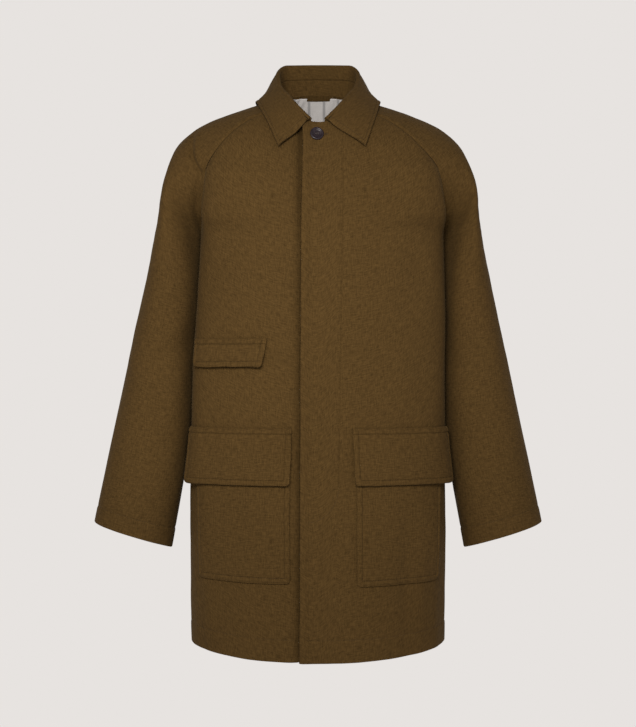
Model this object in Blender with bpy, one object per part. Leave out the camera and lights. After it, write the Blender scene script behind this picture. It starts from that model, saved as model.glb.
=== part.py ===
"""Raglan car coat of heavy wool cloth, worn open and hollow, as one hard wall for each cut piece.

Metres, +Z up. +X is the wearer's left, -Y the front. The origin is the middle of the neck
opening, level with the shoulders that carry the coat.

Each panel is a loft. A table row is one section, a cubic curve from the centre line or seam to
the next seam. Levels 0 to 5 run from the neck down the raglan seam to the underarm, and levels
5 to 10 run on to the hem of the body or the cuff of the sleeve.
"""

import math

import bmesh
import bpy
import numpy as np
from mathutils import Matrix, Vector
from mathutils.bvhtree import BVHTree

# Cloth
WALL = 0.0020  # shell cloth
COLLAR_WALL = 0.0026  # two layers of shell cloth, pressed
PATCH_WALL = 0.0018  # pockets and flaps
LINING_WALL = 0.0010
SEAM_GAP = 0.0003  # between pieces at a seam
LIE_GAP = 0.0005  # between a panel and what lies on it
SHARP = 1.35  # allowance for the twist of the facets at a folded seam
MOST_TRIM = 0.0045  # most that a seam edge is cut back where two panels fold sharply

# Closing
FLY_EDGE = 0.022  # the left front reaches this far past the centre
UNDERLAP = 0.034  # the right front reaches this far under it
LAYER = WALL / 2 + 0.0009  # the left front lies this far out, and the right this far in
LAYER_RUN = (0.045, 0.095)  # the two fronts part to their layers between these widths

# Hip pockets, measured along the cloth from the centre and by height
FLAP_TOP, FLAP_BOTTOM = -0.507, -0.593
PATCH_TOP, PATCH_BOTTOM = -0.526, -0.741
SEAT_RUN = 0.014  # from the flap's sewn edge to where it lies over the pocket
PATCH_CORNER = 0.012
FLAP_CORNER = 0.010
CLEAR_END = 0.004  # least distance from a piece's end to the first of the panel's own lines
FLAP_FLARE = 0.0045  # and its back corner this much more
FLAP_LIFT = 0.0045  # the flap's free edge stands off the pocket
FLAP_SLANT = 0.003  # its front end draws back this much towards the free edge
TICKET_TOP, TICKET_BOTTOM = -0.372, -0.415
TICKET_SPAN, TICKET_SLANT = (0.0785, 0.208), 0.007

# Collar
STAND_FOOT = 0.0026  # the stand starts this far above the neck seam
STAND_SHARE = 0.55  # of the height, up to the seam below the fold
FOLD_RADIUS = 0.0030
COLLAR_CLEAR = 0.0012  # the fall lies this far off the panels
FRONT_GAP = 0.010  # half of the gap between the collar's front ends

# Neck trim and lining
LINING_ROWS = (0.02, 0.5, 1, 2, 3, 4, 5, 6, 7, 8, 9)  # down the back's rows
LINING_HALF = 0.165
LOOP_ROWS = (0.0, 0.2, 0.4)
LOOP_HALF = 0.031
LOOP_WALL = 0.0016

# Button
BUTTON_RADIUS = 0.0105
BUTTON_HEIGHT = 0.0034
BUTTON_HOLE_RADIUS = 0.0011
BUTTON_HOLE_REACH = 0.0022
BUTTON_LEVEL = 0.80  # on the left front, below the neck edge
BUTTON_ACROSS = -0.002
BUTTON_SIDES = 28

# Grid steps
CAP_ROWS, BODY_ROWS, ARM_ROWS = 9, 13, 15
FRONT_COLUMNS, BACK_COLUMNS, SLEEVE_COLUMNS = 14, 22, 8
COLLAR_COLUMNS, FOLD_STEPS, FALL_STEPS = 40, 4, 5

NECK, UNDERARM, END = 0, 5, 10


def table(columns, *rows):
    """The rows of a table, as one array for each named column."""
    return dict(zip(columns.split(), np.array(rows, float).T))


# Half sections of the body. Each starts at the centre line, level and square to it, and ends at
# the raglan seam or, from level 5 down, at the side seam. heading turns the end from +X towards
# the back, or towards the front in the back's table. reach is the length of a curve handle.
FRONT = table(
    "level centre_y centre_z centre_reach edge_x edge_y edge_z heading climb edge_reach",
    (0, -0.0865, -0.040, 0.022, 0.052, -0.048, -0.014, 60, 0.55, 0.020),
    (1, -0.1030, -0.068, 0.045, 0.094, -0.068, -0.026, 42, 0.42, 0.035),
    (2, -0.1200, -0.107, 0.075, 0.147, -0.092, -0.069, 40, 0.35, 0.045),
    (3, -0.1300, -0.146, 0.095, 0.179, -0.084, -0.120, 75, 0.10, 0.055),
    (4, -0.1350, -0.185, 0.110, 0.186, -0.045, -0.176, 102, 0.00, 0.075),
    (5, -0.1370, -0.217, 0.118, 0.176, 0.000, -0.217, 108, 0.00, 0.095),
    (6, -0.1400, -0.310, 0.122, 0.181, 0.000, -0.310, 107, 0.00, 0.095),
    (7, -0.1430, -0.420, 0.126, 0.188, 0.000, -0.420, 102, 0.00, 0.095),
    (8, -0.1460, -0.550, 0.130, 0.194, 0.000, -0.550, 96, 0.00, 0.092),
    (9, -0.1490, -0.700, 0.132, 0.1968, 0.000, -0.700, 92, 0.00, 0.090),
    (10, -0.1520, -0.8568, 0.134, 0.1975, 0.000, -0.844, 90, 0.00, 0.092),
)
BACK = table(
    "level centre_y centre_z centre_reach edge_x edge_y edge_z heading climb edge_reach",
    (0, 0.0720, 0.030, 0.030, 0.056, 0.047, 0.022, 62, -0.20, 0.018),
    (1, 0.0980, -0.010, 0.050, 0.086, 0.078, -0.006, 40, 0.15, 0.030),
    (2, 0.1200, -0.066, 0.075, 0.128, 0.105, -0.052, 40, 0.20, 0.040),
    (3, 0.1310, -0.122, 0.090, 0.163, 0.097, -0.110, 70, 0.10, 0.050),
    (4, 0.1350, -0.175, 0.105, 0.181, 0.052, -0.172, 100, 0.00, 0.070),
    (5, 0.1360, -0.217, 0.110, 0.176, 0.000, -0.217, 108, 0.00, 0.090),
    (6, 0.1340, -0.310, 0.115, 0.181, 0.000, -0.310, 107, 0.00, 0.090),
    (7, 0.1310, -0.420, 0.120, 0.188, 0.000, -0.420, 102, 0.00, 0.088),
    (8, 0.1340, -0.550, 0.125, 0.194, 0.000, -0.550, 96, 0.00, 0.088),
    (9, 0.1410, -0.700, 0.130, 0.1968, 0.000, -0.700, 92, 0.00, 0.090),
    (10, 0.1470, -0.850, 0.132, 0.1975, 0.000, -0.844, 90, 0.00, 0.090),
)

# Sleeve sections run from the front seam over the ridge, which is the shoulder line and then the
# sleeve's outer line, to the back seam. Below the underarm both seams are the inner line.
RIDGE = table(
    "level x y z front_heading front_climb front_reach back_heading back_climb back_reach crown",
    (0, 0.0700, 0.002, 0.010, 60, 0.55, 0.018, 62, -0.20, 0.016, 0.016),
    (1, 0.1265, 0.002, -0.0090, 42, 0.42, 0.028, 40, 0.15, 0.028, 0.028),
    (2, 0.1945, 0.003, -0.0380, 38, 0.38, 0.040, 40, 0.25, 0.042, 0.042),
    (3, 0.2295, 0.003, -0.076, 8, 0.45, 0.050, 12, 0.40, 0.052, 0.058),
    (4, 0.2430, 0.003, -0.134, -20, 0.30, 0.074, -20, 0.30, 0.078, 0.108),
    (5, 0.2570, 0.004, -0.203, -28, 0.12, 0.106, -28, 0.12, 0.110, 0.136),
    (6, 0.2735, 0.005, -0.279, -60, 0.10, 0.112, -60, 0.10, 0.114, 0.118),
    (7, 0.2955, 0.005, -0.378, -80, 0.08, 0.104, -80, 0.08, 0.106, 0.104),
    (8, 0.3160, 0.001, -0.476, -88, 0.05, 0.096, -88, 0.05, 0.096, 0.096),
    (9, 0.3355, -0.009, -0.573, -90, 0.02, 0.084, -90, 0.02, 0.084, 0.084),
    (10, 0.3520, -0.020, -0.659, -90, 0.12, 0.070, -90, 0.12, 0.070, 0.070),
)
INNER = table(
    "level x y z",
    (5, 0.1785, 0.000, -0.217),
    (6, 0.1850, 0.004, -0.302),
    (7, 0.1912, 0.006, -0.400),
    (8, 0.1985, 0.004, -0.500),
    (9, 0.2150, -0.008, -0.600),
    (10, 0.2330, -0.020, -0.700),
)

# Half of the collar, from the centre back to its front end. roll is the fold line and edge the
# free edge, whose last row is the collar's point.
COLLAR = table(
    "along roll_x roll_y roll_z edge_x edge_y edge_z",
    (0.00, 0.000, 0.0660, 0.0810, 0.000, 0.0960, 0.0250),
    (0.20, 0.050, 0.0620, 0.0800, 0.062, 0.0860, 0.0200),
    (0.36, 0.0625, 0.0360, 0.0630, 0.095, 0.0500, 0.0090),
    (0.54, 0.0585, -0.0020, 0.0360, 0.0985, -0.0040, 0.0050),
    (0.72, 0.044, -0.0400, 0.0105, 0.089, -0.0620, -0.0250),
    (0.86, 0.030, -0.0660, -0.0100, 0.077, -0.0980, -0.0540),
    (1.00, 0.0105, -0.0890, -0.0325, 0.066, -0.1180, -0.0810),
)
POINT_SHIFT = 0.006  # both collar points lie this much towards the wearer's left

# Pockets on each front, by arc length from the centre: side +1 is the wearer's left.
POCKETS = (
    {"name": "right", "side": -1, "patch": (0.0445, 0.205), "flap": (0.0420, 0.226)},
    {"name": "left", "side": 1, "patch": (0.0580, 0.207), "flap": (0.0520, 0.232)},
)

# Largest soft folds, as ridges (depth over 0) or troughs, by level and share of the panel across.
FOLDS = {
    "front": table(
        "level across long wide slant depth",
        (3.3, 0.86, 1.3, 0.10, -0.05, 0.0030),
        (8.6, 0.55, 1.9, 0.16, 0.00, -0.0022),
        (9.2, 0.86, 1.6, 0.10, 0.00, 0.0030),
    ),
    "back": table(
        "level across long wide slant depth",
        (3.6, 0.72, 1.6, 0.14, -0.05, 0.0040),
        (8.8, 0.38, 2.4, 0.15, 0.00, -0.0045),
        (8.8, 0.72, 2.4, 0.15, 0.00, 0.0040),
    ),
    "sleeve": table(
        "level across long wide slant depth",
        (4.6, 0.55, 1.1, 0.16, 0.08, -0.0030),
        (7.2, 0.45, 0.5, 0.22, 0.30, -0.0028),
        (8.6, 0.60, 1.6, 0.20, 0.00, 0.0022),
    ),
}

OLIVE = {"colour": (0.105, 0.062, 0.018), "rough": 0.92}
LINING = {"colour": (0.62, 0.58, 0.53), "rough": 0.70}
HORN = {"colour": (0.035, 0.025, 0.028), "rough": 0.28}


def through(at, knots, values):
    """Smooth curve through a table's values that never swings past them."""
    at = np.asarray(at, float)
    step = np.diff(knots)
    slope = np.diff(values) / step
    tangent = np.zeros(len(knots))
    tangent[0], tangent[-1] = slope[0], slope[-1]
    same = slope[:-1] * slope[1:] > 0
    mean = np.zeros(len(slope) - 1)
    mean[same] = 2 * slope[:-1][same] * slope[1:][same] / (slope[:-1] + slope[1:])[same]
    tangent[1:-1] = mean
    i = np.clip(np.searchsorted(knots, at, side="right") - 1, 0, len(step) - 1)
    h = step[i]
    t = (at - knots[i]) / h
    return (
        values[i] * (1 + 2 * t) * (1 - t) ** 2
        + tangent[i] * h * t * (1 - t) ** 2
        + values[i + 1] * t**2 * (3 - 2 * t)
        - tangent[i + 1] * h * t**2 * (1 - t)
    )


def read(rows, at, *names):
    """Columns of a table at these levels, side by side."""
    knots = rows[next(iter(rows))]
    return np.stack([through(at, knots, rows[name]) for name in names], axis=-1)


def unit(vectors):
    return vectors / np.linalg.norm(vectors, axis=-1, keepdims=True)


def smooth_step(x):
    x = np.clip(x, 0, 1)
    return x * x * (3 - 2 * x)


def bezier(ends, t):
    """Points of cubic curves. ends is four arrays of rows, and t one row of shares for each."""
    t = t[..., None]
    p0, p1, p2, p3 = (p[:, None, :] for p in ends)
    return p0 * (1 - t) ** 3 + 3 * p1 * t * (1 - t) ** 2 + 3 * p2 * t**2 * (1 - t) + p3 * t**3


def direction(heading, climb, towards_back):
    """Unit vector at this heading, in degrees from +X, with its climb."""
    angle = np.radians(heading)
    return unit(np.stack([np.cos(angle), towards_back * np.sin(angle), climb], axis=-1))


# Body surface


def body_ends(rows, level, towards_back):
    """Curve handles of a half section of the front or the back."""
    centre = read(rows, level, "centre_y", "centre_z")
    start = np.stack([np.zeros(len(level)), centre[:, 0], centre[:, 1]], axis=-1)
    edge = read(rows, level, "edge_x", "edge_y", "edge_z")
    way, rise, reach, edge_reach = read(
        rows, level, "heading", "climb", "centre_reach", "edge_reach"
    ).T
    leave = start + reach[:, None] * np.array([1.0, 0.0, 0.0])
    arrive = edge - edge_reach[:, None] * direction(way, rise, towards_back)
    return start, leave, arrive, edge


def folds_at(kind, level, across):
    """Height of the soft folds, by level and by share across."""
    total = np.zeros(np.broadcast(level, across).shape)
    rows = FOLDS[kind]
    for k in range(len(rows["level"])):
        down = (level - rows["level"][k]) / rows["long"][k]
        side = (across - rows["across"][k] - rows["slant"][k] * down) / rows["wide"][k]
        total += rows["depth"][k] * np.exp(-(down**2) - side**2)
    return total


def normals_of(points):
    """Unit normals of a grid, from its neighbours."""
    down = np.gradient(points, axis=0)
    along = np.gradient(points, axis=1)
    return unit(np.cross(along, down))


def outward(points, normals, centre=(0.0, 0.0)):
    """The normals turned so that they point away from an upright axis."""
    away = points[..., :2] - np.asarray(centre)
    turn = np.sign((normals[..., :2] * away).sum(-1).mean())
    return normals * turn


def half_points(kind, level, t):
    """Body points at levels and shares across. Shares below 0 lie past the centre."""
    rows, towards_back = (FRONT, 1.0) if kind == "front" else (BACK, -1.0)
    points = bezier(body_ends(rows, level, towards_back), np.abs(t))
    points[..., 0] *= np.where(t < 0, -1, 1)
    return points


def body_points(kind, level, t):
    """The half section's points with its soft folds."""
    points = half_points(kind, level, t)
    normal = outward(points, normals_of(points))
    fade = smooth_step(np.abs(t) / 0.25) * smooth_step((1 - np.abs(t)) / 0.10)
    return points + normal * (folds_at(kind, level[:, None], np.abs(t)) * fade)[..., None]


def share_at_width(level, width):
    """The share across a front's sections where they reach this far from the centre."""
    t = np.tile(np.linspace(0, 0.6, 61), (len(level), 1))
    x = half_points("front", level, t)[..., 0]
    return np.array([np.interp(width, x[k], t[k]) for k in range(len(level))])


# Sleeve surface


def sleeve_seam(level, towards_back):
    """The sleeve's inner edge: the raglan seam, then the underarm seam."""
    rows = FRONT if towards_back > 0 else BACK
    cap = read(rows, np.minimum(level, UNDERARM), "edge_x", "edge_y", "edge_z")
    arm = read(INNER, np.maximum(level, UNDERARM), "x", "y", "z")
    return np.where((level < UNDERARM)[:, None], cap, arm)


def sleeve_ends(half, level):
    """Curve handles of the front or back half of a sleeve section, from its seam to the ridge."""
    towards_back = 1.0 if half == "front" else -1.0
    seam = sleeve_seam(level, towards_back)
    ridge = read(RIDGE, level, "x", "y", "z")
    way, rise, reach = read(RIDGE, level, half + "_heading", half + "_climb", half + "_reach").T
    crown = read(RIDGE, level, "crown")
    leave = seam + reach[:, None] * direction(way, rise, towards_back)
    arrive = ridge - crown * np.array([0.0, towards_back, 0.0])
    return seam, leave, arrive, ridge


def sleeve_points(half, level, t):
    points = bezier(sleeve_ends(half, level), t)
    middle = read(RIDGE, level, "x", "y")[:, None, :]
    normal = normals_of(points)
    away = points[..., :2] - middle + np.array([0.04, 0.0])
    normal *= np.sign((normal[..., :2] * away).sum(-1).mean())
    fade = smooth_step(t / 0.15) * smooth_step((1 - t) / 0.15)
    return points + normal * (folds_at("sleeve", level[:, None], t) * fade)[..., None]


# Seams


def seam_trim(first, seam, second):
    """How far two walls are cut back at their seam, so that their edges lie a gap apart.

    first and second are the points next to the seam on either side, row by row.
    """
    along = np.gradient(seam, axis=0)
    facing = unit(np.cross(along, first - seam))
    other = unit(np.cross(second - seam, along))
    turn = np.clip((facing * other).sum(-1), -0.95, 1)
    return SEAM_GAP / 2 + np.minimum(MOST_TRIM, SHARP * WALL / 2 * np.sqrt((1 - turn) / (1 + turn)))


def joined(upper, lower):
    """Trims of two seams that meet in one point, as one list down the edge."""
    return np.concatenate([upper[:-1], [max(upper[-1], lower[0])], lower[1:]])


def cut_back(points, trim, column):
    """Moves one edge column in along its own rows."""
    step = 1 if column == 0 else -2
    points[:, column] += unit(points[:, step] - points[:, column]) * trim[:, None]


def body_levels():
    cap = np.linspace(NECK, UNDERARM, CAP_ROWS)
    return np.concatenate([cap, np.linspace(UNDERARM, END, BODY_ROWS + 1)[1:]])


def arm_levels():
    cap = np.linspace(NECK, UNDERARM, CAP_ROWS)
    return np.concatenate([cap, np.linspace(UNDERARM, END, ARM_ROWS + 1)[1:]])


# Objects


def material(name, look):
    made = bpy.data.materials.new(name)
    made.use_nodes = True
    shader = made.node_tree.nodes["Principled BSDF"]
    shader.inputs["Base Color"].default_value = (*look["colour"], 1.0)
    shader.inputs["Roughness"].default_value = look["rough"]
    shader.inputs["Metallic"].default_value = 0.0
    return made


def add_object(name, mesh, look):
    made = bpy.data.objects.new(name, mesh)
    mesh.materials.append(look)
    mesh.shade_smooth()
    bpy.context.scene.collection.objects.link(made)
    made.parent = bpy.data.objects["neck"]
    return made


def cloth(name, points, look, wall):
    """A piece of cloth: a grid of points in the middle of its wall, given that thickness."""
    rows, columns = points.shape[:2]
    faces = [
        (r * columns + c, r * columns + c + 1, (r + 1) * columns + c + 1, (r + 1) * columns + c)
        for r in range(rows - 1)
        for c in range(columns - 1)
    ]
    mesh = bpy.data.meshes.new(name)
    mesh.from_pydata(points.reshape(-1, 3).tolist(), [], faces)
    made = add_object(name, mesh, look)
    thick = made.modifiers.new("Wall", "SOLIDIFY")
    thick.thickness = wall
    thick.offset = 0.0
    return made


def mirrored(points, side):
    """The same points on the wearer's left (+1) or right (-1)."""
    return points * np.array([side, 1.0, 1.0])


def front_grid(past_centre):
    """The left front's points, reaching this far past the centre."""
    level = body_levels()
    first = -share_at_width(level, past_centre)[:, None]
    return body_points("front", level, first + (1 - first) * np.linspace(0, 1, FRONT_COLUMNS))


def back_grid():
    level = body_levels()
    return body_points("back", level, np.tile(np.linspace(-1, 1, BACK_COLUMNS), (len(level), 1)))


def sleeve_grid(half):
    level = arm_levels()
    return sleeve_points(half, level, np.tile(np.linspace(0, 1, SLEEVE_COLUMNS), (len(level), 1)))


def layered(points, layer):
    """A front moved out or in near the closing, where the two fronts lap."""
    near = smooth_step((LAYER_RUN[1] - np.abs(points[..., 0])) / (LAYER_RUN[1] - LAYER_RUN[0]))
    normal = outward(points, normals_of(points))
    return points + normal * (near * layer)[..., None]


def sew(front, back, fore, rear):
    """Cuts the seam edges of one side's panels back: its front, half of the back and its sleeve."""
    cap, rest = slice(0, CAP_ROWS), slice(CAP_ROWS - 1, None)
    fore_seam = seam_trim(front[cap, -2], front[cap, -1], fore[cap, 1])
    rear_seam = seam_trim(back[cap, -2], back[cap, -1], rear[cap, 1])
    side_seam = seam_trim(front[rest, -2], front[rest, -1], back[rest, -2])
    under_seam = seam_trim(fore[rest, 1], fore[rest, 0], rear[rest, 1])
    ridge_seam = seam_trim(fore[:, -2], fore[:, -1], rear[:, -2])
    cut_back(front, joined(fore_seam, side_seam), -1)
    cut_back(back, joined(rear_seam, side_seam), -1)
    cut_back(fore, joined(fore_seam, under_seam), 0)
    cut_back(rear, joined(rear_seam, under_seam), 0)
    cut_back(fore, ridge_seam, -1)
    cut_back(rear, ridge_seam, -1)


def rounded_rows(top, bottom, corner, straight_rows, corner_rows):
    """Heights down a pocket piece and how far its sides draw in there for the round corners."""
    straight = np.linspace(top, bottom + corner, straight_rows)
    angle = np.linspace(0, math.pi / 2, corner_rows + 1)[1:]
    height = np.concatenate([straight, bottom + corner * (1 - np.sin(angle))])
    draw = np.concatenate([np.zeros(straight_rows), corner * (1 - np.cos(angle))])
    return height, draw


def rows_at(grid, where):
    """Rows of a grid at these places down it, on its own flat facets."""
    low = np.clip(np.floor(where).astype(int), 0, len(grid) - 2)
    part = (where - low)[:, None, None]
    return grid[low] * (1 - part) + grid[low + 1] * part


def on_panel(grid, span, height, draw, stand_off, slant, flare):
    """A piece that lies on a front: the front's own points and facets, moved out."""
    rows = rows_at(grid, np.interp(-height, -grid[:, -1, 2], np.arange(len(grid))))
    steps = np.linalg.norm(np.diff(rows, axis=1), axis=2)
    run = np.concatenate([np.zeros((len(rows), 1)), steps.cumsum(axis=1)], axis=1)
    run -= np.array([np.interp(0, rows[k, :, 0], run[k]) for k in range(len(rows))])[:, None]
    start = span[0] + draw + slant * (height[0] - height) / (height[0] - height[-1])
    end = span[1] - draw
    inside = (run.min(axis=0) > span[0] + slant + CLEAR_END) & (run.max(axis=0) < span[1] - CLEAR_END)
    count = np.arange(1, inside.sum() + 1) * CLEAR_END / 2
    between = np.clip(run[:, inside], start[:, None] + count, end[:, None] - count[::-1])
    arc = np.column_stack([start, between, end])
    share = (arc - start[:, None]) / (end - start)[:, None]
    points = np.array(
        [
            np.stack([np.interp(arc[k], run[k], rows[k, :, axis]) for axis in range(3)], axis=-1)
            for k in range(len(rows))
        ]
    )
    away = stand_off[:, None] + flare[:, None] * share**3
    return points + outward(points, normals_of(points)) * away[..., None]


def patch_pocket(grid, span):
    height, draw = rounded_rows(PATCH_TOP, PATCH_BOTTOM, PATCH_CORNER, 6, 3)
    stand_off = np.full(len(height), WALL / 2 + LIE_GAP + PATCH_WALL / 2)
    return on_panel(grid, span, height, draw, stand_off, 0.0, 0 * height)


def flap(grid, span, top, bottom, under, slant, flare, straight_rows):
    """A pocket flap, sewn down at its top edge, over a layer of the given thickness."""
    height, draw = rounded_rows(top - SEAT_RUN, bottom, FLAP_CORNER, straight_rows, 3)
    height, draw = np.append(top, height), np.append(0.0, draw)
    hang = (top - height) / (top - bottom)
    over = np.where(height < top, under, 0.0)
    stand_off = WALL / 2 + over + LIE_GAP + PATCH_WALL / 2 + FLAP_LIFT * hang**1.5
    return on_panel(grid, span, height, draw, stand_off, slant, flare * hang)


# Collar


def neck_ring(count):
    """Half of the neck seam, from the centre back over the shoulder to the centre front."""
    level = np.array([NECK, 0.02])
    t = np.tile(np.linspace(0, 1, 40), (2, 1))
    ring = np.concatenate(
        [
            half_points("back", level, t)[0],
            bezier(sleeve_ends("back", level), t)[0][1:],
            bezier(sleeve_ends("front", level), t)[0][::-1][1:],
            half_points("front", level, t)[0][::-1][1:],
        ]
    )
    ring = ring[ring[:, 0] > FRONT_GAP * (ring[:, 1] < 0) - 1e-9]
    run = np.concatenate([[0], np.linalg.norm(np.diff(ring, axis=0), axis=1).cumsum()])
    at = np.linspace(0, run[-1], count)
    return np.stack([np.interp(at, run, ring[:, k]) for k in range(3)], axis=-1)


def collar_sections():
    """Points of the stand and of the fall, one row for each section round the neck."""
    count = COLLAR_COLUMNS // 2 + 1
    along = np.linspace(0, 1, count)
    half = [
        neck_ring(count),
        read(COLLAR, along, "roll_x", "roll_y", "roll_z"),
        read(COLLAR, along, "edge_x", "edge_y", "edge_z"),
    ]
    both = [np.concatenate([mirrored(p, -1)[:0:-1], p]) for p in half]
    away = np.concatenate([along[:0:-1], along])
    neck, roll, edge = both
    edge[:, 0] += POINT_SHIFT * smooth_step((away - 0.5) / 0.5)
    rise = np.linalg.norm(roll - neck, axis=1, keepdims=True)
    up = (roll - neck) / rise
    out = edge - roll
    out = unit(out - (out * up).sum(1, keepdims=True) * up)
    radius = np.minimum(FOLD_RADIUS, rise * 0.30)
    split = STAND_SHARE * rise
    stand = [neck + up * s for s in (STAND_FOOT, (STAND_FOOT + split) / 2, split - SEAM_GAP / 2)]
    fall = [neck + up * s for s in (split + SEAM_GAP / 2, (split + rise - radius) / 2)]
    centre = roll - up * radius + out * radius
    for angle in np.linspace(0, math.pi, FOLD_STEPS + 1):
        fall.append(centre + radius * (up * math.sin(angle) - out * math.cos(angle)))
    start = fall[-1]
    length = np.linalg.norm(edge - start, axis=1, keepdims=True)
    leave = start + unit(out - up) * length * 0.32
    arrive = edge + unit(start - edge) * length * 0.30 + unit(up + out) * length * 0.05
    share = np.tile(np.linspace(0, 1, FALL_STEPS + 1)[1:], (len(start), 1))
    falling = bezier((start, leave, arrive, edge), share)
    return np.stack(stand, axis=1), np.stack(fall, axis=1), falling


def lift_off(points, tree, clear):
    """Moves points out until they are this clear of the middle of the panels below them."""
    lifted = points.copy()
    for index in np.ndindex(points.shape[:2]):
        place, normal, _, _ = tree.find_nearest(Vector(points[index]))
        away = Vector((place.x, place.y, 0.12))
        if normal.dot(away) < 0:
            normal = -normal
        short = clear - (Vector(points[index]) - place).dot(normal)
        if short > 0:
            lifted[index] += np.array(normal) * short
    return lifted


def panel_tree(grids):
    """Search tree over the middle surfaces of some panels."""
    points, faces = [], []
    for grid in grids:
        rows, columns = grid.shape[:2]
        base = len(points)
        points += grid.reshape(-1, 3).tolist()
        for r in range(rows - 1):
            for c in range(columns - 1):
                a = base + r * columns + c
                faces.append((a, a + 1, a + columns + 1, a + columns))
    return BVHTree.FromPolygons(points, faces)


# Button


def button(look, centre, normal):
    """Turned button with a raised rim and four thread holes."""
    outline = (
        (0.00, 1.00 - 0.35),
        (0.62, 1.00 - 0.35),
        (0.74, 1.00),
        (0.88, 1.00),
        (1.00, 0.62),
        (0.94, 0.20),
        (0.60, 0.00),
        (0.00, 0.00),
    )
    builder = bmesh.new()
    ring = [
        builder.verts.new((share * BUTTON_RADIUS, 0.0, height * BUTTON_HEIGHT))
        for share, height in outline
    ]
    edges = [builder.edges.new(pair) for pair in zip(ring, ring[1:])]
    bmesh.ops.spin(
        builder,
        geom=ring + edges,
        axis=(0, 0, 1),
        cent=(0, 0, 0),
        steps=BUTTON_SIDES,
        angle=2 * math.pi,
        use_merge=True,
    )
    bmesh.ops.remove_doubles(builder, verts=builder.verts, dist=1e-6)
    bmesh.ops.recalc_face_normals(builder, faces=builder.faces)
    mesh = bpy.data.meshes.new("button")
    builder.to_mesh(mesh)
    builder.free()
    made = add_object("button", mesh, look)
    made.matrix_local = Matrix.Translation(centre) @ normal.to_track_quat("Z", "Y").to_matrix().to_4x4()
    for k in range(4):
        made_hole = thread_hole(k, made.matrix_local)
        cut = made.modifiers.new(made_hole.name, "BOOLEAN")
        cut.object = made_hole
        cut.operation = "DIFFERENCE"
    return made


def thread_hole(k, place):
    """Cutter for one of the button's thread holes."""
    angle = math.pi / 4 + k * math.pi / 2
    builder = bmesh.new()
    bmesh.ops.create_cone(
        builder,
        cap_ends=True,
        segments=8,
        radius1=BUTTON_HOLE_RADIUS,
        radius2=BUTTON_HOLE_RADIUS,
        depth=4 * BUTTON_HEIGHT,
    )
    mesh = bpy.data.meshes.new("thread_hole")
    builder.to_mesh(mesh)
    builder.free()
    hole = bpy.data.objects.new(f"thread_hole_{k}", mesh)
    bpy.context.scene.collection.objects.link(hole)
    offset = Vector((math.cos(angle), math.sin(angle), 0)) * BUTTON_HOLE_REACH
    hole.matrix_local = place @ Matrix.Translation(offset)
    hole.parent = bpy.data.objects["neck"]
    hole.hide_render = True
    hole.display_type = "WIRE"
    return hole


def button_seat(front):
    """Where the button lies: a point just off the left front, and the way it faces."""
    level = np.array([BUTTON_LEVEL - 0.05, BUTTON_LEVEL, BUTTON_LEVEL + 0.05])
    share = np.sign(BUTTON_ACROSS) * share_at_width(level, abs(BUTTON_ACROSS))
    across = share[:, None] + np.array([-0.05, 0.0, 0.05])
    points = body_points("front", level, across)
    normal = outward(points, normals_of(points))[1, 1]
    tree = panel_tree([front])
    seat, facing, _, _ = tree.ray_cast(Vector(points[1, 1] + normal * 0.02), Vector(-normal))
    facing = facing if facing.dot(Vector(normal)) > 0 else -facing
    return seat + facing * (WALL / 2 + SEAM_GAP), facing


# Inside of the neck


def inside_back(grid, rows, half_width, depth):
    """A piece inside the back: the back's own points and facets, moved in."""
    points = rows_at(grid, np.array(rows))
    normal = outward(points, normals_of(points))
    inside = (np.abs(points[..., 0]) < half_width).all(axis=0)
    return (points - normal * depth)[:, inside]


def main():
    for old in list(bpy.data.objects):
        bpy.data.objects.remove(old)
    neck = bpy.data.objects.new("neck", None)
    bpy.context.scene.collection.objects.link(neck)
    wool = material("olive_wool", OLIVE)
    pale = material("pale_lining", LINING)
    horn = material("dark_horn", HORN)

    back = back_grid()
    panels, fronts = {}, {}
    closing = {1: ("left", FLY_EDGE, LAYER), -1: ("right", UNDERLAP, -LAYER)}
    for side, (word, past_centre, layer) in closing.items():
        front, fore, rear = front_grid(past_centre), sleeve_grid("front"), sleeve_grid("back")
        half = back.copy()
        sew(front, half, fore, rear)
        fronts[side] = layered(front, layer)
        panels["front_" + word] = mirrored(fronts[side], side)
        panels["sleeve_front_" + word] = mirrored(fore, side)
        panels["sleeve_back_" + word] = mirrored(rear, side)
    back[:, -1] = half[:, -1]
    back[:, 0] = mirrored(half[:, -1], -1)
    panels["back"] = back
    for name, points in panels.items():
        cloth(name, points, wool, WALL)

    for pocket in POCKETS:
        front = fronts[pocket["side"]]
        patch = patch_pocket(front, pocket["patch"])
        cloth("pocket_" + pocket["name"], mirrored(patch, pocket["side"]), wool, PATCH_WALL)
        under = PATCH_WALL + LIE_GAP
        lid = flap(front, pocket["flap"], FLAP_TOP, FLAP_BOTTOM, under, FLAP_SLANT, FLAP_FLARE, 4)
        cloth("flap_" + pocket["name"], mirrored(lid, pocket["side"]), wool, PATCH_WALL)
    lid = flap(fronts[-1], TICKET_SPAN, TICKET_TOP, TICKET_BOTTOM, 0.0, TICKET_SLANT, 0.0, 3)
    cloth("flap_ticket", mirrored(lid, -1), wool, PATCH_WALL)

    tree = panel_tree(panels.values())
    stand, fold, fall = collar_sections()
    fall = lift_off(fall, tree, WALL / 2 + COLLAR_WALL / 2 + COLLAR_CLEAR)
    cloth("collar_stand", stand, wool, COLLAR_WALL)
    cloth("collar_fall", np.concatenate([fold, fall], axis=1), wool, COLLAR_WALL)

    depth = WALL / 2 + LIE_GAP + LINING_WALL / 2
    cloth("lining", inside_back(back, LINING_ROWS, LINING_HALF, depth), pale, LINING_WALL)
    depth += LINING_WALL / 2 + LIE_GAP + LOOP_WALL / 2
    cloth("hanger_loop", inside_back(back, LOOP_ROWS, LOOP_HALF, depth), wool, LOOP_WALL)

    button(horn, *button_seat(panels["front_left"]))


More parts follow.
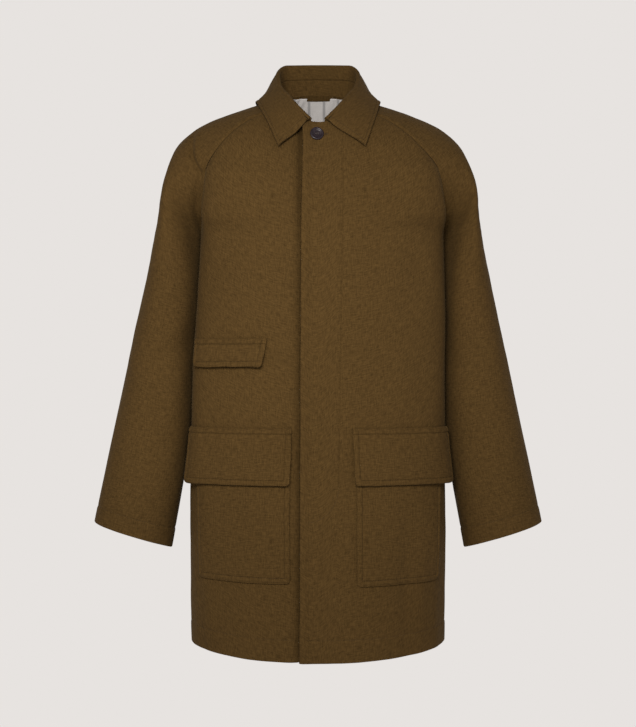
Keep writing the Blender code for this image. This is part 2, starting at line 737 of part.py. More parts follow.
main()
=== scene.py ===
import math

import bmesh
import bpy
import numpy as np
from mathutils import Matrix, Vector
from mathutils.bvhtree import BVHTree


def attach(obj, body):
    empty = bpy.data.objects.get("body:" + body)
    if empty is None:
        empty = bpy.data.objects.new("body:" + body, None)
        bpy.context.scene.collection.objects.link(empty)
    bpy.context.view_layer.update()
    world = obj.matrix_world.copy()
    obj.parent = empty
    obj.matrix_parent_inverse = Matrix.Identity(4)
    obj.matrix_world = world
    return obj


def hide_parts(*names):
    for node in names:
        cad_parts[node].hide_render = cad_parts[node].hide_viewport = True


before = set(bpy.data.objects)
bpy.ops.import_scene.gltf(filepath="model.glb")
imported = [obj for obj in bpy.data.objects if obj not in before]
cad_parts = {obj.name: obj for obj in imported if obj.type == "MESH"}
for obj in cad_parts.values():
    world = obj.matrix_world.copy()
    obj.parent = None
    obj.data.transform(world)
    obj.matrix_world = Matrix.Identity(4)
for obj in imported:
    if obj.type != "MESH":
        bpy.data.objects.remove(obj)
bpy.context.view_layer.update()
scene = bpy.context.scene


def table(columns, *rows):
    return dict(zip(columns.split(), np.array(rows, float).T))


# Levels 0 to 5 run from the neck down the raglan seam to the underarm, 5 to 10 on to the hem or cuff.
bodyColumns = "level centreY centreZ centreReach edgeX edgeY edgeZ heading climb edgeReach"
frontRows = table(
    bodyColumns,
    (0, -0.0865, -0.040, 0.022, 0.052, -0.048, -0.014, 60, 0.55, 0.020),
    (1, -0.1030, -0.068, 0.045, 0.094, -0.068, -0.026, 42, 0.42, 0.035),
    (2, -0.1200, -0.107, 0.075, 0.147, -0.092, -0.069, 40, 0.35, 0.045),
    (3, -0.1300, -0.146, 0.095, 0.179, -0.084, -0.120, 75, 0.10, 0.055),
    (4, -0.1350, -0.185, 0.110, 0.186, -0.045, -0.176, 102, 0.00, 0.075),
    (5, -0.1370, -0.217, 0.118, 0.176, 0.000, -0.217, 108, 0.00, 0.095),
    (6, -0.1400, -0.310, 0.122, 0.181, 0.000, -0.310, 107, 0.00, 0.095),
    (7, -0.1430, -0.420, 0.126, 0.188, 0.000, -0.420, 102, 0.00, 0.095),
    (8, -0.1460, -0.550, 0.130, 0.194, 0.000, -0.550, 96, 0.00, 0.092),
    (9, -0.1490, -0.700, 0.132, 0.1968, 0.000, -0.700, 92, 0.00, 0.090),
    (10, -0.1520, -0.8568, 0.134, 0.1975, 0.000, -0.844, 90, 0.00, 0.092),
)
backRows = table(
    bodyColumns,
    (0, 0.0720, 0.030, 0.030, 0.056, 0.047, 0.022, 62, -0.20, 0.018),
    (1, 0.0980, -0.010, 0.050, 0.086, 0.078, -0.006, 40, 0.15, 0.030),
    (2, 0.1200, -0.066, 0.075, 0.128, 0.105, -0.052, 40, 0.20, 0.040),
    (3, 0.1310, -0.122, 0.090, 0.163, 0.097, -0.110, 70, 0.10, 0.050),
    (4, 0.1350, -0.175, 0.105, 0.181, 0.052, -0.172, 100, 0.00, 0.070),
    (5, 0.1360, -0.217, 0.110, 0.176, 0.000, -0.217, 108, 0.00, 0.090),
    (6, 0.1340, -0.310, 0.115, 0.181, 0.000, -0.310, 107, 0.00, 0.090),
    (7, 0.1310, -0.420, 0.120, 0.188, 0.000, -0.420, 102, 0.00, 0.088),
    (8, 0.1340, -0.550, 0.125, 0.194, 0.000, -0.550, 96, 0.00, 0.088),
    (9, 0.1410, -0.700, 0.130, 0.1968, 0.000, -0.700, 92, 0.00, 0.090),
    (10, 0.1470, -0.850, 0.132, 0.1975, 0.000, -0.844, 90, 0.00, 0.090),
)
ridgeRows = table(
    "level x y z frontHeading frontClimb frontReach backHeading backClimb backReach crown",
    (0, 0.0700, 0.002, 0.010, 60, 0.55, 0.018, 62, -0.20, 0.016, 0.016),
    (1, 0.1265, 0.002, -0.0090, 42, 0.42, 0.028, 40, 0.15, 0.028, 0.028),
    (2, 0.1945, 0.003, -0.0380, 38, 0.38, 0.040, 40, 0.25, 0.042, 0.042),
    (3, 0.2295, 0.003, -0.076, 8, 0.45, 0.050, 12, 0.40, 0.052, 0.058),
    (4, 0.2430, 0.003, -0.134, -31, 0.26, 0.080, -24, 0.28, 0.082, 0.110),
    (5, 0.2570, 0.004, -0.203, -64, 0.12, 0.094, -38, 0.12, 0.106, 0.124),
    (6, 0.2735, 0.005, -0.279, -82, 0.10, 0.098, -60, 0.10, 0.108, 0.114),
    (7, 0.2955, 0.005, -0.378, -86, 0.08, 0.097, -72, 0.08, 0.104, 0.105),
    (8, 0.3160, 0.001, -0.476, -91, 0.05, 0.094, -84, 0.05, 0.096, 0.096),
    (9, 0.3355, -0.009, -0.573, -97, 0.02, 0.084, -90, 0.02, 0.084, 0.084),
    (10, 0.3520, -0.020, -0.659, -90, 0.12, 0.070, -90, 0.12, 0.070, 0.070),
)
innerRows = table(
    "level x y z",
    (5, 0.1785, 0.000, -0.217),
    (6, 0.1850, 0.004, -0.302),
    (7, 0.1912, 0.006, -0.400),
    (8, 0.1985, 0.004, -0.500),
    (9, 0.2150, -0.008, -0.600),
    (10, 0.2330, -0.020, -0.700),
)
seamShift = table(  # the seams stand this much further out on each side
    "level left right",
    (0, 0.000, 0.000),
    (1, 0.000, 0.000),
    (2, 0.003, -0.001),
    (3, 0.009, -0.005),
    (4, 0.010, -0.009),
    (5, 0.013, -0.002),
    (6, 0.010, -0.0015),
    (7, 0.005, 0.002),
    (8, 0.002, 0.002),
    (10, 0.000, 0.000),
)
collarRows = table(
    "along rollX rollY rollZ edgeX edgeY edgeZ",
    (0.00, 0.000, 0.0660, 0.0810, 0.000, 0.0900, 0.0215),
    (0.20, 0.050, 0.0620, 0.0800, 0.062, 0.0805, 0.0155),
    (0.36, 0.0625, 0.0360, 0.0630, 0.095, 0.0500, 0.0030),
    (0.54, 0.0585, -0.0020, 0.0360, 0.0985, -0.0040, 0.0050),
    (0.72, 0.044, -0.0400, 0.0105, 0.089, -0.0620, -0.0250),
    (0.86, 0.030, -0.0660, -0.0100, 0.077, -0.0980, -0.0540),
    (1.00, 0.0105, -0.0890, -0.0325, 0.066, -0.1180, -0.0810),
)


def folds(*rows):
    # Ridges (depth over 0) and troughs, by level and share of the panel across.
    return table("level across long wide slant depth", *rows)


broadFolds = {
    "front": folds(
        (6.9, 0.67, 4.0, 0.17, 0.00, 0.0080),
        (3.3, 0.86, 1.3, 0.10, -0.05, 0.0015),
        (8.6, 0.55, 1.9, 0.16, 0.00, -0.0022),
        (9.2, 0.86, 1.6, 0.10, 0.00, 0.0030),
    ),
    "back": folds(
        (3.6, 0.72, 1.6, 0.14, -0.05, 0.0040),
        (8.8, 0.38, 2.4, 0.15, 0.00, -0.0045),
        (8.8, 0.72, 2.4, 0.15, 0.00, 0.0040),
    ),
    "sleeve": folds(
        (6.8, 0.30, 2.3, 0.14, 0.00, 0.0055),
        (7.2, 0.45, 0.5, 0.22, 0.30, -0.0028),
        (8.6, 0.60, 1.6, 0.20, 0.00, 0.0022),
    ),
}
creases = {
    "frontRight": folds(
        (4.5, 0.80, 0.8, 0.050, -0.12, -0.0017),
        (5.7, 0.91, 1.1, 0.040, -0.05, 0.0015),
        (8.3, 0.14, 1.3, 0.030, 0.01, -0.0012),
        (9.5, 0.33, 0.7, 0.060, 0.02, 0.0012),
        (9.4, 0.66, 0.9, 0.050, -0.02, -0.0014),
    ),
    "frontLeft": folds(
        (4.2, 0.84, 0.9, 0.055, -0.10, -0.0019),
        (6.1, 0.92, 1.4, 0.040, -0.03, 0.0013),
        (9.3, 0.42, 0.9, 0.045, 0.01, -0.0022),
        (9.4, 0.53, 1.0, 0.050, 0.01, 0.0016),
        (9.5, 0.75, 0.7, 0.060, -0.02, -0.0015),
    ),
    "back": folds(
        (2.3, -0.48, 1.1, 0.130, 0.05, 0.0016),
        (2.6, 0.43, 1.0, 0.150, -0.05, 0.0014),
        (4.3, -0.80, 0.9, 0.050, 0.12, -0.0021),
        (4.5, 0.78, 0.8, 0.055, -0.11, -0.0018),
        (8.4, -0.17, 1.4, 0.060, 0.01, -0.0024),
        (8.9, 0.12, 1.1, 0.070, -0.01, 0.0019),
        (9.2, -0.61, 0.9, 0.055, 0.02, 0.0016),
        (9.0, 0.55, 1.2, 0.050, -0.02, -0.0018),
    ),
    "foreRight": folds(
        (2.68, 0.13, 0.42, 0.042, -0.26, 0.0058),
        (2.70, 0.25, 0.44, 0.065, -0.29, -0.0056),
        (4.15, 0.060, 0.85, 0.046, 0.00, -0.0065),
        (6.9, 0.30, 0.30, 0.150, 0.16, -0.0014),
        (7.5, 0.62, 0.26, 0.140, -0.20, 0.0012),
    ),
    "foreLeft": folds(
        (4.25, 0.055, 0.70, 0.042, 0.00, -0.0030),
        (4.5, 0.38, 1.2, 0.080, -0.04, 0.0016),
        (6.7, 0.33, 0.32, 0.160, 0.18, -0.0013),
        (8.3, 0.48, 0.8, 0.100, 0.02, 0.0013),
    ),
    "rearRight": folds(
        (3.7, 0.25, 0.6, 0.060, -0.10, -0.0020),
        (6.6, 0.42, 0.28, 0.180, 0.18, -0.0020),
        (7.2, 0.55, 0.30, 0.170, -0.16, 0.0017),
        (8.5, 0.40, 0.9, 0.090, 0.02, -0.0013),
    ),
    "rearLeft": folds(
        (3.9, 0.28, 0.7, 0.065, -0.09, -0.0019),
        (6.8, 0.38, 0.30, 0.170, 0.17, -0.0019),
        (7.5, 0.58, 0.27, 0.160, -0.18, 0.0016),
        (8.7, 0.45, 0.8, 0.100, 0.01, 0.0014),
    ),
}

wool = {"wall": 0.0020, "seamGap": 0.00006, "lieGap": 0.0005, "sharp": 1.25, "mostTrim": 0.0035, "rim": 0.84}
pressed = {"groove": 0.0017, "grooveWide": 0.0028, "band": 0.0004, "bandFrom": 0.009, "bandFade": 0.004}
waves = ((0.00026, 0.083, 0.21, 1.0), (0.00018, 0.047, -0.13, 1.3), (0.00012, 0.029, 0.057, 2.1))
closing = {
    "flyEdge": (0.0225, 0.0268), "underlap": (0.034, 0.037), "layer": wool["wall"] / 2 + 0.0009, "run": (0.045, 0.095),
    "lift": 0.0034, "liftRun": 0.022, "roll": 0.0024, "rollRun": 0.0055, "turnedEdge": 0.0022, "turnedRun": 0.012,
    "dip": (0.0056, 0.043, 0.019), "groove": (0.0050, 0.0325, 0.008), "neckRun": 0.6,
}
steps = {"cap": 90, "body": 150, "arm": 150, "front": 92, "flyEdge": 20, "back": 130, "sleeve": 60}
hemLine = {"level": 9.787, "perMetre": 6.67, "pucker": 0.0003}
cuffLine = {"level": 9.708, "perMetre": 10.4, "pucker": 0.0006}
stitchRun = 0.002  # from doubled to single cloth at a row of stitches
turnedUp = {"dip": 0.0003, "dipWide": 0.0022, "raise": 0.0005, "raiseRun": 0.003}
pulls = ((0.5, 0.0213, 0.7), (0.4, 0.0137, 2.0))  # of its stitches: size, spacing along, shift
foldFade = {"side": 0.10, "centre": 0.25, "sleeveSeam": 0.15, "crease": 0.05, "ridge": 0.15}  # shares of a panel
armHalf = 0.04  # from a sleeve's ridge to its middle
unevenFade = 0.03  # the cloth lies flatter this near to a seam
lineClear = {"levels": 0.0044, "pockets": 0.0042, "least": 0.0003}  # of other grid lines
# Grid lines beside a row of stitches
besideLine = np.array([-3.6, -2.2, -1.2, -0.6, 0, 0.6, 1.2, 2.2, 3.6]) * 1e-3


def through(at, knots, values):
    at = np.asarray(at, float)
    step = np.diff(knots)
    slope = np.diff(values) / step
    tangent = np.zeros(len(knots))
    tangent[0], tangent[-1] = slope[0], slope[-1]
    same = slope[:-1] * slope[1:] > 0
    mean = np.zeros(len(slope) - 1)
    mean[same] = 2 * slope[:-1][same] * slope[1:][same] / (slope[:-1] + slope[1:])[same]
    tangent[1:-1] = mean
    i = np.clip(np.searchsorted(knots, at, side="right") - 1, 0, len(step) - 1)
    h = step[i]
    t = (at - knots[i]) / h
    return (
        values[i] * (1 + 2 * t) * (1 - t) ** 2
        + tangent[i] * h * t * (1 - t) ** 2
        + values[i + 1] * t**2 * (3 - 2 * t)
        - tangent[i + 1] * h * t**2 * (1 - t)
    )


def readRows(rows, at, *names):
    knots = rows[next(iter(rows))]
    return np.stack([through(at, knots, rows[name]) for name in names], axis=-1)


def placeIn(at, values):
    return np.interp(at, values, np.arange(len(values)))


def unit(vectors):
    return vectors / np.linalg.norm(vectors, axis=-1, keepdims=True)


def smoothStep(x):
    x = np.clip(x, 0, 1)
    return x * x * (3 - 2 * x)


def bump(x):
    return np.exp(-(x**2))


def bezier(ends, t):
    t = t[..., None]
    p0, p1, p2, p3 = (p[:, None, :] for p in ends)
    return p0 * (1 - t) ** 3 + 3 * p1 * t * (1 - t) ** 2 + 3 * p2 * t**2 * (1 - t) + p3 * t**3


def wayOf(heading, climb, towardsBack):
    angle = np.radians(heading)
    return unit(np.stack([np.cos(angle), towardsBack * np.sin(angle), climb], axis=-1))


def gridNormals(points):
    return unit(np.cross(np.gradient(points, axis=1), np.gradient(points, axis=0)))


def outwardNormals(points):
    normal = gridNormals(points)
    return normal * np.sign((normal[..., :2] * points[..., :2]).sum(-1).mean())


def stitchRow(past, raised, dip, wide):
    # The relief along a row of stitches: doubled cloth on its near side, and a groove.
    return raised * smoothStep(0.5 - past / stitchRun) - dip * bump(past / wide)


def foldHeight(rows, level, across):
    total = np.zeros(np.broadcast(level, across).shape)
    for k in range(len(rows["level"])):
        down = (level - rows["level"][k]) / rows["long"][k]
        side = (across - rows["across"][k] - rows["slant"][k] * down) / rows["wide"][k]
        total += rows["depth"][k] * bump(down) * bump(side)
    return total


def uneven(u, v, shift):
    return sum(h * np.sin(math.tau * (u / across + v / down) + k * shift) for h, across, down, k in waves)


def rowRun(points, axis=1):
    length = np.linalg.norm(np.diff(points, axis=axis), axis=2)
    return np.insert(length.cumsum(axis=axis), 0, 0, axis=axis)


def columnRun(points):
    return rowRun(points, 0)


def seamPoints(rows, level, side):
    edge = readRows(rows, level, "edgeX", "edgeY", "edgeZ")
    edge[:, 0] += readRows(seamShift, level, side)[:, 0]
    return edge


def bodyEnds(rows, level, towardsBack, side):
    centre = readRows(rows, level, "centreY", "centreZ")
    start = np.column_stack([np.zeros(len(level)), centre])
    edge = seamPoints(rows, level, side)
    way, rise, reach, edgeReach = readRows(rows, level, "heading", "climb", "centreReach", "edgeReach").T
    leave = start + reach[:, None] * np.array([1.0, 0.0, 0.0])
    arrive = edge - edgeReach[:, None] * wayOf(way, rise, towardsBack)
    return start, leave, arrive, edge


def halfPoints(kind, level, t, side):
    rows, towardsBack = (frontRows, 1.0) if kind == "front" else (backRows, -1.0)
    points = bezier(bodyEnds(rows, level, towardsBack, side), np.abs(t))
    points[..., 0] *= np.where(t < 0, -1, 1)
    return points


def bodyPoints(kind, level, t, own, side):
    points = halfPoints(kind, level, t, side)
    if kind == "back":
        points = np.where((t < 0)[..., None], halfPoints(kind, level, t, "right"), points)
    fade = smoothStep((1 - np.abs(t)) / foldFade["side"])
    height = foldHeight(broadFolds[kind], level[:, None], np.abs(t)) * smoothStep(np.abs(t) / foldFade["centre"])
    height = height + foldHeight(own, level[:, None], t)
    return points + outwardNormals(points) * (height * fade)[..., None]


def shareAtWidth(kind, level, width, side="left"):
    t = np.tile(np.linspace(0, 0.6, 121), (len(level), 1))
    x = halfPoints(kind, level, t, side)[..., 0]
    width = np.broadcast_to(width, len(level))
    return np.array([np.interp(width[k], x[k], t[k]) for k in range(len(level))])


def sleeveEnds(half, level, side):
    towardsBack, rows = (1.0, frontRows) if half == "front" else (-1.0, backRows)
    cap = seamPoints(rows, np.minimum(level, 5), side)
    arm = readRows(innerRows, np.maximum(level, 5), "x", "y", "z")
    arm[:, 0] += readRows(seamShift, np.maximum(level, 5), side)[:, 0]
    seam = np.where((level < 5)[:, None], cap, arm)
    ridge = readRows(ridgeRows, level, "x", "y", "z")
    way, rise, reach = readRows(ridgeRows, level, half + "Heading", half + "Climb", half + "Reach").T
    crown = readRows(ridgeRows, level, "crown")
    leave = seam + reach[:, None] * wayOf(way, rise, towardsBack)
    return seam, leave, ridge - crown * np.array([0.0, towardsBack, 0.0]), ridge


def sleeveNormals(points, level):
    normal = gridNormals(points)
    away = points[..., :2] - readRows(ridgeRows, level, "x", "y")[:, None, :] + np.array([armHalf, 0.0])
    return normal * np.sign((normal[..., :2] * away).sum(-1).mean())


def sleevePoints(half, level, t, own, side):
    points = bezier(sleeveEnds(half, level, side), t)
    height = foldHeight(broadFolds["sleeve"], level[:, None], t) * smoothStep(t / foldFade["sleeveSeam"])
    height = height + foldHeight(own, level[:, None], t) * smoothStep(t / foldFade["crease"])
    height = height * smoothStep((1 - t) / foldFade["ridge"])
    return points + sleeveNormals(points, level) * height[..., None]


def levelsWith(lower, line):
    rest = np.linspace(5, 10, lower + 1)[1:]
    rest = rest[np.abs(rest - line["level"]) > lineClear["levels"] * line["perMetre"]]
    rest = np.sort(np.concatenate([rest, line["level"] + besideLine * line["perMetre"]]))
    return np.concatenate([np.linspace(0, 5, steps["cap"]), rest])


def seamTurn(first, seam, second):
    # How far the cloth turns at a seam, and the way between its two faces.
    along = np.gradient(seam, axis=0)
    facing = unit(np.cross(along, first - seam))
    other = unit(np.cross(second - seam, along))
    turn = np.clip((facing * other).sum(-1), -0.95, 1)
    return np.column_stack([turn, unit(facing + other + 1e-9)])


def seamTrim(turn):
    cut = wool["sharp"] * wool["wall"] / 2 * (np.sqrt(2 / (1 + turn)) - 1)  # as far as two round rims need
    return wool["seamGap"] / 2 + np.minimum(wool["mostTrim"], cut)


def joined(upper, lower):
    return np.concatenate([upper[:-1], [min(upper[-1], lower[0], key=lambda row: row[0])], lower[1:]])


def trimmed(points, startCut, endCut):
    run = rowRun(points)
    whole = run[:, -1]
    at = startCut[:, None] + run * ((whole - startCut - endCut) / whole)[:, None]
    made = [[np.interp(a, r, line) for line in p.T] for a, r, p in zip(at, run, points)]
    return np.array(made).swapaxes(1, 2)


def seamEdge(away, turns, normal, edge):
    # The pressed seam: its edge dips in the way its neighbour's does, and the allowance inside raises a low band.
    soft = np.clip(turns[:, :1], 0, 1)
    middle = turns[:, 1:] * np.sign((turns[:, 1:] * normal[:, edge]).sum(-1, keepdims=True))
    groove = -pressed["groove"] * soft * bump(away / pressed["grooveWide"])
    band = 1 - smoothStep((away - pressed["bandFrom"]) / pressed["bandFade"])
    band = pressed["band"] * soft * band * smoothStep(away / pressed["bandFade"])
    return groove[..., None] * middle[:, None, :] + band[..., None] * normal


def turnUp(level, u, line):
    # A turned-up edge: doubled cloth below its line of stitches, which pull it in unevenly.
    away = (level - line["level"]) / line["perMetre"]
    pull = 1 + sum(size * np.sin(math.tau * u / spacing + shift) for size, spacing, shift in pulls)
    dip = -(turnedUp["dip"] + line["pucker"] * pull) * bump(away / turnedUp["dipWide"])
    return dip + turnedUp["raise"] * smoothStep(away / turnedUp["raiseRun"] + 0.5)


def mirrored(points, side):
    return points * np.array([side, 1.0, 1.0])


def layered(points, layer):
    low, high = closing["run"]
    near = smoothStep((high - np.abs(points[..., 0])) / (high - low))
    return points + outwardNormals(points) * (near * layer)[..., None]


print("stage 1: frame and tables")

bodyLevel = levelsWith(steps["body"], hemLine)
armLevel = levelsWith(steps["arm"], cuffLine)
bodyHeight = readRows(frontRows, bodyLevel, "edgeZ")[:, 0]
flyStitch = {
    "x": (0.0375, 0.0306), "down": (0.151, 0.606), "firstLevel": 0.9, "curveLevel": 8.3, "curveDrop": 0.36,
    "lastLevel": 8.35, "clear": 0.0062, "relief": (0.0005, 0.0012, 0.0014),
}
flyX = np.interp(-bodyHeight, flyStitch["down"], flyStitch["x"])
frontLength = 0.28  # half of the body's front, along the cloth


def frontShares(side):
    past = np.interp(bodyLevel, (0, 10), closing["flyEdge"] if side > 0 else closing["underlap"])
    first = -shareAtWidth("front", bodyLevel, past, "left" if side > 0 else "right")[:, None]
    if side < 0:
        return first + (1 - first) * np.linspace(0, 1, steps["front"])
    line = shareAtWidth("front", bodyLevel, flyX)[:, None]
    near = flyStitch["clear"] / frontLength
    edge = first + (line - near - first) * np.linspace(0, 1, steps["flyEdge"]) ** 1.7
    rest = line + near + (1 - line - near) * np.linspace(0, 1, steps["front"] - steps["flyEdge"])
    return np.concatenate([edge, line + besideLine / frontLength, rest], axis=1)


panels = {}
backShare = np.tile(np.linspace(-1, 1, steps["back"]), (len(bodyLevel), 1))
backPoints = bodyPoints("back", bodyLevel, backShare, creases["back"], "left")
sleeveShare = np.tile(np.linspace(0, 1, steps["sleeve"]) ** 1.25, (len(armLevel), 1))
cap, bodyRest = slice(0, steps["cap"]), slice(steps["cap"] - 1, None)
for side, word in ((1, "Left"), (-1, "Right")):
    share = frontShares(side)
    front = bodyPoints("front", bodyLevel, share, creases["front" + word], word.lower())
    fore = sleevePoints("front", armLevel, sleeveShare, creases["fore" + word], word.lower())
    rear = sleevePoints("back", armLevel, sleeveShare, creases["rear" + word], word.lower())
    plainBack = mirrored(backPoints[:, ::-1], -1) if side < 0 else backPoints
    foreTurn = seamTurn(front[cap, -2], front[cap, -1], fore[cap, 1])
    rearTurn = seamTurn(plainBack[cap, -2], plainBack[cap, -1], rear[cap, 1])
    sideTurn = seamTurn(front[bodyRest, -2], front[bodyRest, -1], plainBack[bodyRest, -2])
    underTurn = seamTurn(fore[bodyRest, 1], fore[bodyRest, 0], rear[bodyRest, 1])
    ridgeTurn = seamTurn(fore[:, -2], fore[:, -1], rear[:, -2])
    frontTurn, backTurn = joined(foreTurn, sideTurn), joined(rearTurn, sideTurn)
    panels["front" + word] = (front, share, None, frontTurn)
    panels["fore" + word] = (fore, sleeveShare, joined(foreTurn, underTurn), ridgeTurn)
    panels["rear" + word] = (rear, sleeveShare, joined(rearTurn, underTurn), ridgeTurn)
    panels["back" + word] = backTurn
panels["back"] = (backPoints, backShare, panels.pop("backRight") * np.array([1, -1, 1, 1]), panels.pop("backLeft"))

finished = {}
for name, (points, share, startTurn, endTurn) in panels.items():
    startCut = np.zeros(len(points)) if startTurn is None else seamTrim(startTurn[:, 0])
    points = trimmed(points, startCut, seamTrim(endTurn[:, 0]))
    sleeve = name[:4] in ("fore", "rear")
    level, line = (armLevel, cuffLine) if sleeve else (bodyLevel, hemLine)
    u, v = rowRun(points), columnRun(points)
    height = uneven(u, v, 1 + len(finished)) * smoothStep((u[:, -1:] - u) / unevenFade)
    if startTurn is not None:
        height *= smoothStep(u / unevenFade)
    height += turnUp(level[:, None], u, line)
    if name == "frontLeft":
        fly = (share - shareAtWidth("front", bodyLevel, flyX)[:, None]) * frontLength
        inFly = smoothStep((flyStitch["lastLevel"] - level) / 0.1)[:, None]
        height += inFly * stitchRow(fly, *flyStitch["relief"])
    normal = sleeveNormals(points, level) if sleeve else outwardNormals(points)
    seams = seamEdge(u[:, -1:] - u, endTurn, normal, -1)
    if startTurn is not None:
        seams += seamEdge(u, startTurn, normal, 0)
    points = points + normal * height[..., None] + seams
    if name.startswith("front"):
        left = name == "frontLeft"
        points = layered(points, closing["layer"] if left else -closing["layer"])
        # The overlap's edge stands off a little, and the cloth beside it bends in to run under it.
        bend = closing["lift"] * smoothStep(1 - u / closing["liftRun"])
        bend = bend - closing["roll"] * np.clip(1 - u / closing["rollRun"], 0, 1) ** 2
        if not left:
            bends = (closing["dip"], closing["groove"])  # each by its depth, where it starts and its run
            bend = -sum(deep * smoothStep((start - points[..., 0]) / run) for deep, start, run in bends)
        points = points + outwardNormals(points) * (bend * smoothStep(level / closing["neckRun"])[:, None])[..., None]
    finished[name] = {"points": points, "level": level, "u": rowRun(points), "v": columnRun(points)}
    finished[name]["normal"] = sleeveNormals(points, level) if sleeve else outwardNormals(points)
for word in ("Left", "Right"):  # arc lengths on the fronts count from the centre
    front = finished["front" + word]
    centre = [np.interp(0, front["points"][k, :, 0], front["u"][k]) for k in range(len(bodyLevel))]
    front["u"] = front["u"] - np.array(centre)[:, None]
    front["height"] = front["points"][:, -1, 2]
print("stage 2: body and sleeve panels", {k: p["points"].shape[:2] for k, p in finished.items()})


# Materials


def addNode(tree, kind, inputs=None, **settings):
    node = tree.nodes.new(kind)
    for key, value in settings.items():
        setattr(node, key, value)
    for key, value in (inputs or {}).items():
        if isinstance(value, bpy.types.NodeSocket):
            tree.links.new(value, node.inputs[key])
        else:
            node.inputs[key].default_value = value
    return node


def newLook(name, **sockets):
    look = bpy.data.materials.new(name)
    look.use_nodes = True
    shader = look.node_tree.nodes["Principled BSDF"]
    for key, value in sockets.items():
        shader.inputs[key.replace("_", " ")].default_value = value
    return look, look.node_tree, shader


def mathNode(tree, operation, first, second=0.0):
    return addNode(tree, "ShaderNodeMath", {0: first, 1: second}, operation=operation).outputs[0]


def noise(tree, vector, scale, detail, distortion=0.0):
    inputs = {"Vector": vector, "Scale": scale, "Detail": detail, "Distortion": distortion}
    return addNode(tree, "ShaderNodeTexNoise", inputs).outputs["Fac"]


def mixed(tree, share, first, second, **settings):
    inputs = {"Factor": share, "A": first, "B": second}
    return addNode(tree, "ShaderNodeMix", inputs, data_type="RGBA", **settings).outputs["Result"]


def dress(tree, shader, colour, height, strength, distance):
    tree.links.new(colour, shader.inputs["Base Color"])
    raised = addNode(tree, "ShaderNodeBump", {"Height": height, "Strength": strength, "Distance": distance})
    tree.links.new(raised.outputs[0], shader.inputs["Normal"])


def places(tree):
    return addNode(tree, "ShaderNodeTexCoord").outputs["Object"]


def woolLook(name, dark, light, sheen):
    nap = {"Sheen_Weight": sheen, "Sheen_Roughness": 0.4, "Sheen_Tint": (0.95, 0.72, 0.40, 1)}
    look, tree, shader = newLook(name, Roughness=0.94, Specular_IOR_Level=0.05, **nap)
    cloth = addNode(tree, "ShaderNodeUVMap", uv_map="cloth").outputs[0]
    lines = {"Vector": cloth, "Scale": 330, "Distortion": 2.5, "Detail": 1.0}
    twill = addNode(tree, "ShaderNodeTexWave", lines, bands_direction="DIAGONAL").outputs["Fac"]
    threads = []
    for size in ((1.0, 0.20, 1.0), (0.20, 1.0, 1.0)):
        pulled = addNode(tree, "ShaderNodeMapping", {"Vector": cloth, "Scale": size}).outputs[0]
        limits = {"Value": noise(tree, pulled, 520, 2.5), "From Min": 0.32, "From Max": 0.68}
        threads.append(addNode(tree, "ShaderNodeMapRange", limits).outputs[0])
    fibre = mathNode(tree, "MULTIPLY", mathNode(tree, "ADD", *threads), 0.5)
    flecks, cloudy = noise(tree, cloth, 420, 2.0), noise(tree, places(tree), 7, 3.0)
    weave = mathNode(tree, "ADD", mathNode(tree, "MULTIPLY", twill, 0.14), mathNode(tree, "MULTIPLY", fibre, 0.62))
    blend = mathNode(tree, "ADD", weave, mathNode(tree, "MULTIPLY", flecks, 0.18))
    blend = mathNode(tree, "ADD", blend, mathNode(tree, "MULTIPLY", cloudy, 0.20))
    dress(tree, shader, mixed(tree, blend, (*dark, 1), (*light, 1), clamp_factor=True), weave, 0.35, 0.0006)
    return look


def liningLook():
    look, tree, shader = newLook("paleLining", Roughness=0.55, Sheen_Weight=0.15)
    cloth = addNode(tree, "ShaderNodeUVMap", uv_map="cloth").outputs[0]
    across = addNode(tree, "ShaderNodeSeparateXYZ", {0: cloth}).outputs[0]
    wrapped = addNode(tree, "ShaderNodeMath", {0: across, 1: 0.0100, 2: -0.0150}, operation="WRAP").outputs[0]
    away = mathNode(tree, "ABSOLUTE", mathNode(tree, "ADD", wrapped, 0.0025))
    limits = {"Value": away, "From Min": 0.0092, "From Max": 0.0118, "To Min": 0.0, "To Max": 0.75}
    stripe = addNode(tree, "ShaderNodeMapRange", limits).outputs[0]
    fleck = noise(tree, cloth, 500, 2.0)
    ground = mixed(tree, fleck, (0.34, 0.32, 0.31, 1), (0.45, 0.425, 0.41, 1))
    dress(tree, shader, mixed(tree, stripe, ground, (0.15, 0.145, 0.145, 1)), fleck, 0.2, 0.0003)
    return look


def hornLook():
    polish = {"Roughness": 0.25, "Specular_IOR_Level": 0.12, "Coat_Weight": 0.03, "Coat_Roughness": 0.08}
    look, tree, shader = newLook("darkHorn", **polish)
    drawn = addNode(tree, "ShaderNodeMapping", {"Vector": places(tree), "Scale": (1.0, 1.0, 0.3)}).outputs[0]
    streak = noise(tree, drawn, 330, 4.0, 1.2)
    dress(tree, shader, mixed(tree, streak, (0.003, 0.002, 0.003, 1), (0.022, 0.015, 0.018, 1)), streak, 0.1, 0.0002)
    return look


def threadLook(name, dark, light):
    look, tree, shader = newLook(name, Roughness=0.7, Specular_IOR_Level=0.2)
    twist = noise(tree, places(tree), 900, 2.0)
    dress(tree, shader, mixed(tree, twist, (*dark, 1), (*light, 1)), twist, 0.4, 0.0002)
    return look


looks = {
    "wool": woolLook("oliveWool", (0.0150, 0.0079, 0.0019), (0.0690, 0.0387, 0.0117), 0.02),
    "lining": liningLook(),
    "horn": hornLook(),
    "thread": threadLook("oliveThread", (0.020, 0.010, 0.002), (0.052, 0.028, 0.007)),
    "buttonThread": threadLook("darkThread", (0.03, 0.022, 0.02), (0.10, 0.08, 0.075)),
}


# Pieces


